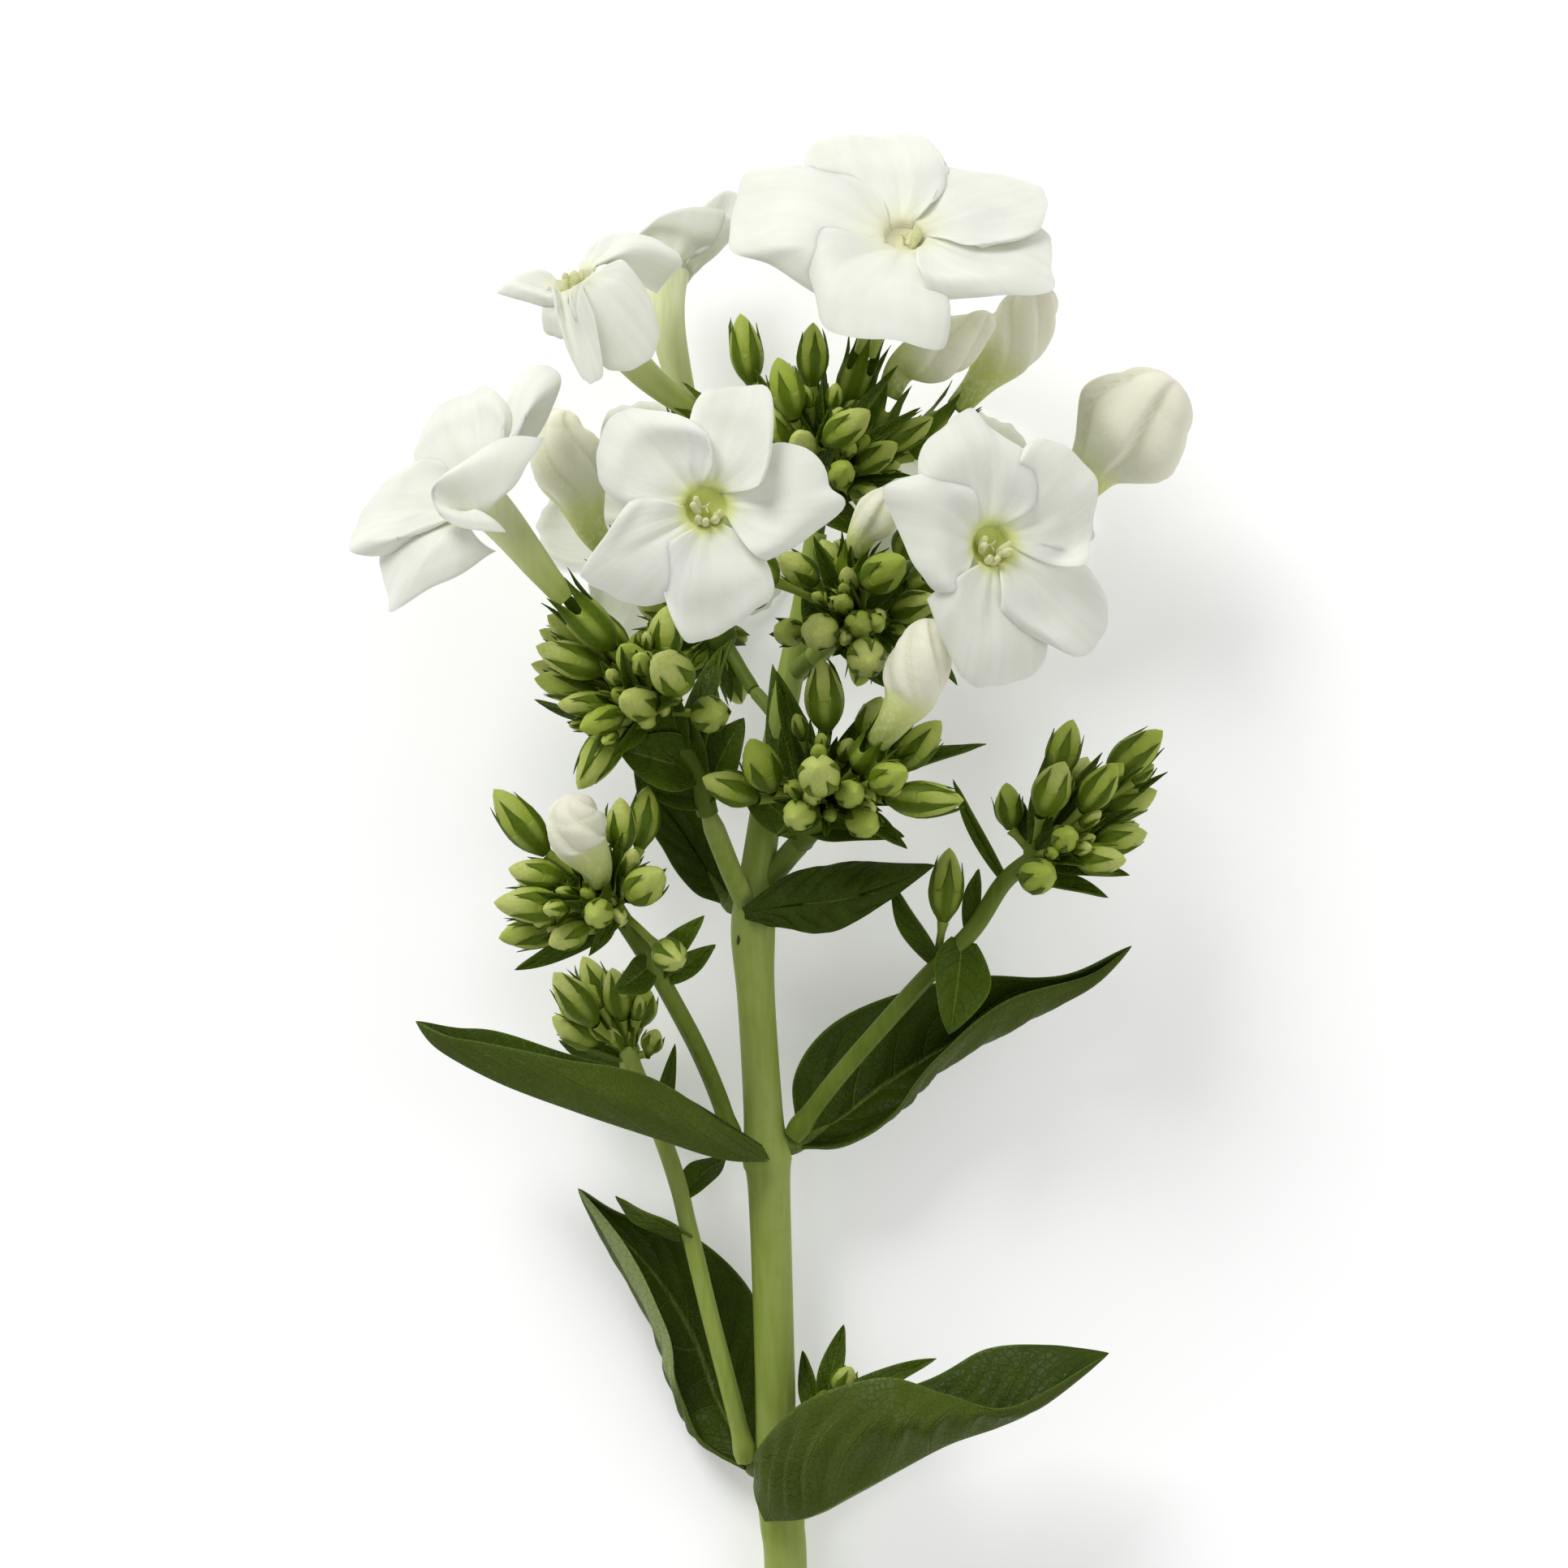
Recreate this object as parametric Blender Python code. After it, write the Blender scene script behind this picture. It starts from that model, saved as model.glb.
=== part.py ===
"""A cut flowering stem of white garden phlox, lying on its back on a flat surface.

Every piece is laid out in the plant's own frame, in millimetres: x to the right, y up the stem from
the lowest point that shows, z towards the viewer, with the stem's axis near z = 0. The layout is as
seen from VIEW_DISTANCE away, and place() turns a seen place into the true one. The whole plant is
then leaned back by LEAN, so that its cut end and two flowers at the back of the head touch the floor.
"""
import math

import bmesh
import bpy
import numpy as np

# Layout of the whole plant, in millimetres and degrees
VIEW_DISTANCE = 800.0
VIEW_MIDDLE = (0.6, 96.6)
LEAN = 8.0
FLOOR_DEPTH = 2.5
STEM_END = -20.0
BOX_MIDDLE = (-0.5, 78.7)
GAP = 0.35

# Blades
LEAF_THICK = 0.7
BRACT_THICK = 0.62
PETAL_THICK = 0.7
LEAST_THICK = 0.6
LEAF_BASE_HALF = 1.5
LEAF_TIP_HALF = 0.5

# Flowers
PETALS = 5
PETAL_STEP = 360.0 / PETALS
THROAT_RADIUS = 2.8
TUBE_OUTSIDE = (2.5, 2.1, 1.75, 1.4)
TUBE_WALL = 0.75
STYLE_DEPTH = 3.0
ANTHER_REACH = 1.9
PETAL_LENGTH = 14.6
PETAL_HALF_WIDTH = 6.6
PETAL_WIDEST = 0.66
PETAL_PINWHEEL = 11.0
PETAL_SKEW = 0.10
PETAL_ROUND = 0.20

# Buds
PEDICEL_RADIUS = 0.5
HUB_RADIUS = 2.5
SPREAD_ROUNDS = 25
SPREAD_STEP = 0.5
SPREAD_LIMIT = 5.0

# How finely each form is cut into flat faces
PETAL_ROWS = 3
PETAL_COLUMNS = 4
LEAF_ROWS = 9
LEAF_COLUMNS = 4
BRACT_ROWS = 3
BRACT_COLUMNS = 2
STEM_SIDES = 10
STEM_RINGS = 23
TUBE_SIDES = 10
PEDUNCLE_SIDES = 6

MATERIALS = {
    "stem_green": ((0.30, 0.39, 0.13), 0.55),
    "leaf_green": ((0.075, 0.125, 0.028), 0.50),
    "calyx_green": ((0.17, 0.26, 0.05), 0.50),
    "petal_white": ((0.86, 0.87, 0.83), 0.55),
    "bud_cream": ((0.80, 0.79, 0.62), 0.50),
    "anther_yellow": ((0.80, 0.72, 0.32), 0.60),
}


def unit(vector):
    return vector / np.linalg.norm(vector)


def place(x, y, z):
    """The true point, in the plant's frame, of what is seen at x, y when it lies z in front."""
    near = (VIEW_DISTANCE - z) / VIEW_DISTANCE
    return np.array([
        VIEW_MIDDLE[0] + (x - VIEW_MIDDLE[0]) * near,
        VIEW_MIDDLE[1] + (y - VIEW_MIDDLE[1]) * near,
        z,
    ])


def to_world(points):
    """Points of the plant's frame, in millimetres, as world points in metres."""
    lean = math.radians(LEAN)
    foot = STEM_END * math.sin(lean) - FLOOR_DEPTH * math.cos(lean)
    x, y, z = np.array(points, float).T
    along = y * math.cos(lean) - z * math.sin(lean)
    up = y * math.sin(lean) + z * math.cos(lean) - foot
    return np.column_stack([x - BOX_MIDDLE[0], along - BOX_MIDDLE[1], up]) * 0.001


def smooth_curve(points, count):
    """count points on the smooth curve through points, which may be points or rows of points."""
    known = np.array(points, float)
    spans = len(known) - 1
    ends = (2 * known[:1] - known[1:2], known, 2 * known[-1:] - known[-2:-1])
    padded = np.concatenate(ends)
    curve = []
    for place_on in np.linspace(0, spans, count):
        span = min(int(place_on), spans - 1)
        f = place_on - span
        a, b, c, d = padded[span:span + 4]
        bend = (2 * a - 5 * b + 4 * c - d) * f ** 2 + (3 * b - a - 3 * c + d) * f ** 3
        curve.append(b + 0.5 * ((c - a) * f + bend))
    return np.array(curve)


def side_of(direction, hint=(0.0, 1.0, 0.0)):
    """A unit vector across direction, as near to hint as can be."""
    hint = np.array(hint, float)
    if abs(unit(hint) @ unit(direction)) > 0.98:
        hint = np.array([1.0, 0.0, 0.2])
    return unit(hint - (hint @ unit(direction)) * unit(direction))


class Shape:
    """A closed skin in the plant's frame: points, faces, and pairs of points across a thin blade."""

    def __init__(self):
        self.points = []
        self.faces = []
        self.pairs = []

    def add(self, points):
        start = len(self.points)
        self.points.extend(np.array(p, float) for p in points)
        return list(range(start, len(self.points)))

    def bridge(self, low, high):
        """Faces between two rings, whose numbers of points are equal or differ twofold."""
        n, m = len(low), len(high)
        if n == m:
            for k in range(n):
                j = (k + 1) % n
                self.faces += [(low[k], low[j], high[j]), (low[k], high[j], high[k])]
        elif m == 2 * n:
            for k in range(n):
                j = (k + 1) % n
                a, b, c = high[2 * k], high[2 * k + 1], high[2 * j]
                self.faces += [(low[k], b, a), (low[k], low[j], b), (low[j], c, b)]
        else:
            for k in range(m):
                j = (k + 1) % m
                a, b, c = low[2 * k], low[2 * k + 1], low[2 * j]
                self.faces += [(a, b, high[k]), (b, high[j], high[k]), (b, c, high[j])]

    def cap(self, ring, point, end):
        tip = self.add([point])[0]
        for k in range(len(ring)):
            j = (k + 1) % len(ring)
            face = (tip, ring[k], ring[j]) if end else (tip, ring[j], ring[k])
            self.faces.append(face)

    def patch(self, grid, flip):
        """Triangles over a grid of point numbers, split alike whichever way the patch faces."""
        for low, high in zip(grid, grid[1:]):
            for k in range(len(low) - 1):
                pair = [(low[k], low[k + 1], high[k + 1]), (low[k], high[k + 1], high[k])]
                self.faces += [face[::-1] for face in pair] if flip else pair


def ring(centre, side, other, radii, turn=0.0):
    """A ring of points round centre, one for each radius, starting at side."""
    count = len(radii)
    angles = [turn + 2 * math.pi * k / count for k in range(count)]
    return [
        centre + radius * (math.cos(angle) * side + math.sin(angle) * other)
        for angle, radius in zip(angles, radii)
    ]


def frames_along(path, hint=(0.0, 1.0, 0.0)):
    """A side and another side for each point of a path, turning as little as the path allows."""
    path = np.array(path)
    ways = np.gradient(path, axis=0)
    side = side_of(ways[0], hint)
    frames = []
    for way in ways:
        way = unit(way)
        side = unit(side - (side @ way) * way)
        frames.append((side, np.cross(way, side)))
    return frames


def tube(path, radii, sides, hint=(0.0, 1.0, 0.0)):
    """A round rod along path."""
    shape = Shape()
    frames = frames_along(path, hint)
    rings = [
        shape.add(ring(centre, side, other, [radius] * sides))
        for centre, radius, (side, other) in zip(path, radii, frames)
    ]
    for low, high in zip(rings, rings[1:]):
        shape.bridge(low, high)
    shape.cap(rings[0], path[0], end=False)
    shape.cap(rings[-1], path[-1], end=True)
    return shape


def rod(points, radii, count, sides=PEDUNCLE_SIDES):
    """A rod through a few points as seen, with a radius at each."""
    path = smooth_curve([place(*p) for p in points], count)
    sizes = smooth_curve([[r] for r in radii], count)[:, 0]
    return tube(path, sizes, sides)


def blade(rails, rows, columns, thick):
    """A leaf through rails that run from its base to its tip, from one margin to the other."""
    shape = Shape()
    curves = [smooth_curve([place(*p) for p in rail], rows + 1) for rail in rails]
    middle = columns // 2
    grid = np.array([smooth_curve([c[i] for c in curves], columns + 1) for i in range(rows + 1)])
    steps = np.linspace(-1, 1, columns + 1)[:, None]
    for end, next_to, half in ((0, 1, LEAF_BASE_HALF), (-1, -2, LEAF_TIP_HALF)):
        if np.linalg.norm(grid[end][0] - grid[end][middle]) > half * 2:
            continue
        way = unit(grid[end][middle] - grid[next_to][middle])
        across = side_of(way, grid[next_to][-1] - grid[next_to][0])
        grid[end] = grid[end][middle] + across * half * steps
    return thicken(shape, grid, thick)


def thicken(shape, grid, thick):
    """Closes a grid of points into a blade of the given thickness."""
    along = np.gradient(grid, axis=0)
    across = np.gradient(grid, axis=1)
    normal = np.cross(across, along)
    normal /= np.linalg.norm(normal, axis=2)[..., None]
    sides = []
    for sign in (0.5, -0.5):
        moved = grid + normal * sign * thick
        sides.append([shape.add(row) for row in moved])
    front, back = sides
    shape.patch(front, flip=False)
    shape.patch(back, flip=True)
    rows, columns = grid.shape[:2]
    edge = [(0, k) for k in range(columns)]
    edge += [(i, columns - 1) for i in range(1, rows)]
    edge += [(rows - 1, k) for k in range(columns - 2, -1, -1)]
    edge += [(i, 0) for i in range(rows - 2, 0, -1)]
    shape.bridge([back[i][k] for i, k in edge], [front[i][k] for i, k in edge])
    shape.pairs += [(f, b) for low, high in zip(front, back) for f, b in zip(low, high)]
    return shape


def nearest_on(stalk, point):
    """The point nearest to point on the smooth line of a stalk."""
    line = smooth_curve([place(*p) for p in stalk], 60)
    return line[np.argmin(np.linalg.norm(line - point, axis=1))]


def bract(stalk, base, tip, width, turn=0.0):
    """A small pointed leaf from its stalk to tip as seen. turn spins it about its length."""
    start, end = nearest_on(stalk, place(*base)), place(*tip)
    way = unit(end - start)
    side = side_of(way, (way[1], -way[0], 0.15))
    up = np.cross(side, way)
    spin = math.radians(turn)
    side, up = (math.cos(spin) * side + math.sin(spin) * up,
                math.cos(spin) * up - math.sin(spin) * side)
    shape = Shape()
    rows = []
    for t in np.linspace(0, 1, BRACT_ROWS + 1):
        middle = start + (end - start) * t
        half = max(0.5 * width * math.sin(math.pi * min(1, 0.16 + 0.84 * t)) ** 0.8, 0.32)
        steps = np.linspace(-1, 1, BRACT_COLUMNS + 1)
        rows.append([middle + side * half * u + up * 0.35 * half * abs(u) for u in steps])
    return thicken(shape, np.array(rows), BRACT_THICK)


def knob(centre, radius, stretch=1.0):
    """A small round swelling, where stalks meet."""
    middle = place(*centre)
    up, side, other = np.eye(3)[1], np.eye(3)[0], np.eye(3)[2]
    shape = Shape()
    rings = []
    for height in (-0.6, 0.0, 0.6):
        wide = radius * math.sqrt(1 - height ** 2)
        at = middle + up * height * radius * stretch
        rings.append(shape.add(ring(at, other, side, [wide] * PEDUNCLE_SIDES, turn=0.3 * height)))
    for low, high in zip(rings, rings[1:]):
        shape.bridge(low, high)
    shape.cap(rings[0], middle - up * radius * stretch, end=False)
    shape.cap(rings[-1], middle + up * radius * stretch, end=True)
    return shape


def stalk_ring(shape, hub, base, sides):
    """The root of a stalk, sunk in its hub, and the ring at the foot of what it carries."""
    way = unit(base - hub)
    side = side_of(way)
    other = np.cross(way, side)
    root = hub + way * 0.35 * HUB_RADIUS
    low = shape.add(ring(root, side, other, [PEDICEL_RADIUS] * sides))
    shape.cap(low, root, end=False)
    return low, side


def bud(hub, tip, base, radius):
    """A closed bud: a stalk from its hub, a calyx with five teeth, and the folded petals' tip."""
    root, end, foot = place(*hub), place(*tip), place(*base)
    way = end - foot
    shape = Shape()
    low, hint = stalk_ring(shape, root, foot, PETALS)
    side = side_of(way, hint)
    other = np.cross(unit(way), side)
    foot_ring = shape.add(ring(foot, side, other, [PEDICEL_RADIUS * 1.3] * PETALS))
    belly = shape.add(ring(foot + way * 0.34, side, other, [radius * 1.04] * PETALS))
    teeth = shape.add(ring(foot + way * 0.80, side, other, [radius * 0.96] * PETALS))
    between = -math.pi / PETALS
    crown = shape.add(ring(foot + way * 0.76, side, other, [radius * 0.62] * PETALS, between))
    for low, high in ((low, foot_ring), (foot_ring, belly), (belly, teeth), (teeth, crown)):
        shape.bridge(low, high)
    shape.cap(crown, end, end=True)
    return shape


def bud_beads(tip, base, radius):
    """A bud as three balls, in the order base to tip: centres and radii."""
    end, foot = place(*tip), place(*base)
    centres = [foot + (end - foot) * s for s in (0.25, 0.55, 0.85)]
    return np.array(centres), radius * np.array([0.9, 0.95, 0.6])


def set_apart(buds, fixed):
    """The buds with their depth changed, and nothing else, until hardly any cuts another."""
    beads = [bud_beads(*row) for row in buds] + [bud_beads(*row) for row in fixed]
    for _ in range(SPREAD_ROUNDS):
        for i in range(len(buds)):
            for j in range(i + 1, len(beads)):
                push = depth_push(beads[i], beads[j])
                share = 0.5 if j < len(buds) else 1.0
                beads[i][0][:, 2] += push * share
                if j < len(buds):
                    beads[j][0][:, 2] -= push * share
    moved = []
    for (tip, base, radius), (centres, _), row in zip(buds, beads, buds):
        shift = centres[0][2] - bud_beads(*row)[0][0][2]
        shift = max(-SPREAD_LIMIT, min(SPREAD_LIMIT, shift))
        moved.append(((*tip[:2], tip[2] + shift), (*base[:2], base[2] + shift), radius))
    return moved


def depth_push(one, other):
    """How far the first of two beaded buds has to move in depth to clear the second."""
    between = one[0][:, None] - other[0][None]
    need = one[1][:, None] + other[1][None]
    flat = np.hypot(between[..., 0], between[..., 1])
    depth = between[..., 2]
    wanted = np.sqrt(np.maximum(need ** 2 - flat ** 2, 0))
    way = 1.0 if depth.mean() >= 0 else -1.0
    lack = np.where(flat < need, wanted - depth * way, 0)
    return way * min(max(lack.max(), 0), SPREAD_STEP)


def calyx(hub, base, mouth, radius):
    """A green cup with five teeth, in which a flower's tube stands a hair above the bottom."""
    root, foot, top = place(*hub), place(*base), place(*mouth)
    way = unit(top - foot)
    shape = Shape()
    low, hint = stalk_ring(shape, root, foot, PETALS)
    side = side_of(way, hint)
    other = np.cross(way, side)
    foot_ring = shape.add(ring(foot, side, other, [PEDICEL_RADIUS * 1.4] * PETALS))
    belly_at = foot + (top - foot) * 0.4
    belly = shape.add(ring(belly_at, side, other, [radius * 0.96] * PETALS))
    teeth = []
    for k in range(PETALS * 2):
        tooth = k % 2 == 0
        at = top + way * (2.0 if tooth else 0.2)
        size = radius * (1.16 if tooth else 1.0)
        angle = 2 * math.pi * k / (PETALS * 2)
        teeth.append(at + size * (math.cos(angle) * side + math.sin(angle) * other))
    teeth = shape.add(teeth)
    floor = top - way * GAP
    inner = shape.add(ring(floor, side, other, [radius * 0.8] * PETALS * 2))
    shape.bridge(low, foot_ring)
    shape.bridge(foot_ring, belly)
    shape.bridge(belly, teeth)
    shape.bridge(teeth, inner)
    shape.cap(inner, floor, end=True)
    return shape


def flower_bud(base, path, radii, twist):
    """A swollen white bud: its tube, and five petals wound round each other in ridges."""
    count = len(path) + 1
    known = [place(*p) for p in path]
    foot_way = unit(known[0] - place(*base))
    known[1] = 0.35 * known[1] + 0.65 * (known[0] + foot_way * np.linalg.norm(known[1] - known[0]))
    centres = smooth_curve(known, count)
    sizes = smooth_curve([[r] for r in radii], count)[:, 0]
    frames = frames_along(centres)
    shape = Shape()
    rings = []
    last = len(centres) - 1
    for i, (centre, size, (side, other)) in enumerate(zip(centres, sizes, frames)):
        turn = math.radians(twist) * i / last
        ridge = 0.10 * min(1.0, i / 2)
        radii_here = [size * (1 + ridge), size * (1 - ridge)] * PETALS
        if i < last:
            rings.append(shape.add(ring(centre, side, other, radii_here, turn)))
    for low, high in zip(rings, rings[1:]):
        shape.bridge(low, high)
    shape.cap(rings[0], centres[0], end=False)
    shape.cap(rings[-1], centres[-1], end=True)
    return shape


def petal_grid(form, rows, columns):
    """A petal's middle surface in its own frame: x clockwise, y outwards, z to the front."""
    length, half = form["length"], form["half"]
    t, u = np.meshgrid(np.linspace(0, 1, rows + 1), np.linspace(-1, 1, columns + 1), indexing="ij")
    reach = length * (1 + form["skew"] * u - form["round"] * np.abs(u) ** 2.6)
    opening, closing = math.radians(form["rise"]), math.radians(form["droop"])
    steps = 24
    s = (np.arange(steps) + 0.5) / steps
    heading = opening + (closing - opening) * s
    out = np.concatenate([[0], np.cumsum(np.cos(heading))]) / steps
    lift = np.concatenate([[0], np.cumsum(np.sin(heading))]) / steps
    y_line = np.interp(t, np.linspace(0, 1, steps + 1), out) * reach
    z_line = np.interp(t, np.linspace(0, 1, steps + 1), lift) * reach
    widest = form.get("widest", PETAL_WIDEST)
    rising = np.clip(t / widest, 0, 1)
    rising = rising ** 2 * (3 - 2 * rising)
    falling = 1 - 0.24 * np.clip((t - widest) / (1 - widest), 0, 1) ** 2
    swell = rising * falling
    spread = math.radians(PETAL_STEP / 2)
    root_x = THROAT_RADIUS * np.sin(spread * u)
    root_y = THROAT_RADIUS * np.cos(spread * u)
    lean = math.radians(form["pinwheel"]) * np.clip(t / 0.45, 0, 1)
    wide = (half - THROAT_RADIUS * math.sin(spread)) * swell * u
    x = root_x + wide * np.cos(lean)
    y = root_y + (THROAT_RADIUS - root_y) * np.clip(t * 2, 0, 1) + y_line
    z = z_line + (root_x * np.clip(t / 0.45, 0, 1) + wide) * np.sin(lean)
    z = z + form["cup"] * half * u ** 2 * np.clip(t / 0.5, 0, 1)
    z = z + form["wave"] * np.sin(2.2 * math.pi * t + 2.0 * u + form["phase"]) * t
    return x, y, z


def corolla(flower):
    """A flower: tube, open throat and five petals that lie over each other like a pinwheel."""
    throat = place(*flower["throat"])
    front = unit(np.array(flower["facing"], float))
    up = side_of(front)
    right = np.cross(up, front)
    mouth = place(*flower["mouth"])
    foot_way = unit(mouth - place(*flower["base"]))
    shape = Shape()
    fronts, backs = [], []
    rise = math.radians(flower["form"]["rise"])
    across = PETAL_COLUMNS * PETALS

    def rim_point(k, sign):
        angle = math.radians(flower["roll"] + (k / PETAL_COLUMNS - 0.5) * PETAL_STEP)
        out = math.cos(angle) * up + math.sin(angle) * right
        inward = -math.sin(rise) * out + math.cos(rise) * front
        return throat + out * THROAT_RADIUS + inward * sign * 0.5 * PETAL_THICK

    rim_front = shape.add([rim_point(k, 1) for k in range(across)])
    rim_back = shape.add([rim_point(k, -1) for k in range(across)])
    for i in range(PETALS):
        form = dict(flower["form"], phase=1.7 * i)
        form.update(flower["petals"].get(i, {}))
        x, y, z = petal_grid(form, PETAL_ROWS, PETAL_COLUMNS)
        yaw = np.linspace(0, 1, PETAL_ROWS + 1)[:, None] * math.radians(form.get("yaw", 0))
        angle = math.radians(flower["roll"] + i * PETAL_STEP) + yaw
        out = np.cos(angle)[..., None] * up + np.sin(angle)[..., None] * right
        clock = np.cos(angle)[..., None] * right - np.sin(angle)[..., None] * up
        grid = throat + out * y[..., None] + clock * x[..., None] + front * z[..., None]
        normal = np.cross(np.gradient(grid, axis=0), np.gradient(grid, axis=1))
        normal /= np.linalg.norm(normal, axis=2)[..., None]
        normal *= np.sign(normal[0, PETAL_COLUMNS // 2] @ front)
        ids = [(i * PETAL_COLUMNS + k) % across for k in range(PETAL_COLUMNS + 1)]
        faces = []
        for sign, rim in ((1, rim_front), (-1, rim_back)):
            moved = grid + normal * sign * 0.5 * PETAL_THICK
            faces.append([[rim[k] for k in ids]] + [shape.add(row) for row in moved[1:]])
        fronts.append(faces[0])
        backs.append(faces[1])
        shape.pairs += [
            pair for f, b in zip(faces[0][1:], faces[1][1:]) for pair in zip(f, b)
        ]
    for front_grid, back_grid in zip(fronts, backs):
        shape.patch(front_grid, flip=True)
        shape.patch(back_grid, flip=False)
        outline = [row[0] for row in front_grid] + front_grid[-1][1:-1]
        outline += [row[-1] for row in front_grid[::-1]]
        under = [row[0] for row in back_grid] + back_grid[-1][1:-1]
        under += [row[-1] for row in back_grid[::-1]]
        for k in range(len(outline) - 1):
            shape.faces.append((outline[k], under[k], under[k + 1]))
            shape.faces.append((outline[k], under[k + 1], outline[k + 1]))
    path = tube_path(throat, front, mouth, foot_way)
    turn = math.radians(flower["roll"] - PETAL_STEP / 2)
    tube_rings(shape, rim_back, path, TUBE_OUTSIDE, up, turn)
    inside = [radius - TUBE_WALL for radius in TUBE_OUTSIDE[:2]]
    tube_rings(shape, rim_front, path[:3], inside, up, turn)
    return shape


def tube_path(throat, front, mouth, foot_way):
    """The middle line of a flower's tube, from the throat down to its foot in the calyx."""
    span = np.linalg.norm(throat - mouth)
    a, b, c, d = throat, throat - front * span * 0.4, mouth + foot_way * span * 0.3, mouth
    line = []
    for f in np.linspace(0, 1, len(TUBE_OUTSIDE) + 1):
        g = 1 - f
        line.append(g ** 3 * a + 3 * g * g * f * b + 3 * g * f * f * c + f ** 3 * d)
    return np.array(line)


def tube_rings(shape, rim, path, radii, up, turn):
    """One wall of a flower's tube, from the petals down to a closed end."""
    side = up
    previous = rim
    ways = np.gradient(path, axis=0)
    for way, centre, radius in zip(ways[1:], path[1:], radii):
        way = unit(-way)
        side = unit(side - (side @ way) * way)
        other = np.cross(side, way)
        current = shape.add(ring(centre, side, other, [radius] * TUBE_SIDES, turn))
        shape.bridge(previous, current)
        previous = current
    shape.cap(previous, path[-1], end=True)


def stamens(flower):
    """Pistil and anthers in the mouth of a flower, as one piece."""
    throat = place(*flower["throat"])
    front = unit(np.array(flower["facing"], float))
    up = side_of(front)
    right = np.cross(up, front)
    parts = [tube([throat - front * STYLE_DEPTH, throat - front * 0.8], [0.5, 0.4], 5)]
    for degrees, height in ((40, 0.3), (165, -0.2), (280, 0.6)):
        turn = math.radians(degrees)
        out = math.cos(turn) * up + math.sin(turn) * right
        low = throat - front * (2.4 - height) + out * 0.1
        top = throat + front * height + out * ANTHER_REACH
        parts.append(tube([low, low + (top - low) * 0.65, top], [0.3, 0.5, 0.3], 4))
    return parts


def make_material(name):
    colour, roughness = MATERIALS[name]
    material = bpy.data.materials.new(name)
    material.use_nodes = True
    shader = material.node_tree.nodes["Principled BSDF"]
    shader.inputs["Base Color"].default_value = (*colour, 1.0)
    shader.inputs["Roughness"].default_value = roughness
    shader.inputs["Metallic"].default_value = 0.0
    return material


def laid(shape):
    """World points of a shape, with what would sink into the floor laid flat on it."""
    world = to_world(shape.points)
    least = LEAST_THICK * 0.001
    for pair in shape.pairs:
        low, high = sorted(pair, key=lambda k: world[k][2])
        if world[low][2] < 0:
            world[low][2] = 0
            world[high][2] = max(world[high][2], least)
    world[:, 2] = np.maximum(world[:, 2], 0)
    return world


def make_object(name, shape, material, root=None):
    """A closed object whose origin is at root, as seen, or at the shape's first point."""
    world = laid(shape)
    origin = world[0] if root is None else to_world([place(*root)])[0]
    mesh = bpy.data.meshes.new(name)
    mesh.from_pydata((world - origin).tolist(), [], shape.faces)
    work = bmesh.new()
    work.from_mesh(mesh)
    bmesh.ops.recalc_face_normals(work, faces=work.faces)
    work.to_mesh(mesh)
    work.free()
    mesh.shade_smooth()
    mesh.set_sharp_from_angle(angle=math.radians(40))
    mesh.materials.append(material)
    thing = bpy.data.objects.new(name, mesh)
    thing.location = origin
    bpy.context.scene.collection.objects.link(thing)
    return thing


def fuse(name, shapes, material, root):
    """One closed object from shapes that grow into each other."""
    body = make_object(name, shapes[0], material, root)
    extras = bpy.data.collections.new(name + "_parts")
    bpy.context.scene.collection.children.link(extras)
    for number, shape in enumerate(shapes[1:]):
        extra = make_object(f"{name}_{number}", shape, material, root)
        bpy.context.scene.collection.objects.unlink(extra)
        extras.objects.link(extra)
    join = body.modifiers.new("join", "BOOLEAN")
    join.operation = "UNION"
    join.operand_type = "COLLECTION"
    join.collection = extras
    join.solver = "MANIFOLD"
    bpy.context.view_layer.update()
    joined = bpy.data.meshes.new_from_object(body.evaluated_get(bpy.context.evaluated_depsgraph_get()))
    body.modifiers.remove(join)
    body.data = joined
    for extra in list(extras.objects):
        bpy.data.objects.remove(extra)
    bpy.data.collections.remove(extras)
    joined.set_sharp_from_angle(angle=math.radians(40))
    return body


# The main stem, with the stubs of the branches that carry the head
STEM_LINE = [
    (0.8, -20.0, 0, 2.65), (0.8, 0.0, 0, 2.65), (0.4, 5.5, 0, 2.75), (0.2, 9.5, 0, 3.0),
    (-0.3, 14.0, 0, 2.6), (-0.5, 23.2, 0, 2.5), (-1.2, 46.0, 0, 2.6), (-1.5, 50.5, 0, 3.0),
    (-1.9, 55.5, 0, 2.45), (-2.8, 70.0, 0, 2.35), (-3.2, 79.0, 0, 2.75), (-2.6, 86.0, 0, 2.1),
    (-1.0, 97.0, 0, 1.9), (1.0, 108.0, 0, 1.7), (3.0, 118.0, 0, 1.5), (4.6, 127.5, 0, 1.3),
]
BRANCHES = {
    "cyme_left": [(-3.4, 80.5, 0.5), (-6.2, 86.5, 4.0), (-8.6, 93.0, 7.0)],
    "cyme_front": [(-2.0, 84.0, 0.0), (0.8, 87.4, 1.4), (3.0, 89.8, 4.6)],
    "cyme_middle": [(1.4, 110.0, 0.0), (4.5, 112.5, 3.5)],
    "cyme_back_left": [(0.4, 104.0, 0.0), (-3.4, 108.5, -4.0)],
    "cyme_back_right": [(1.4, 109.0, 0.0), (6.5, 113.5, -4.0)],
}
BRANCH_RADIUS = 1.3


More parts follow.
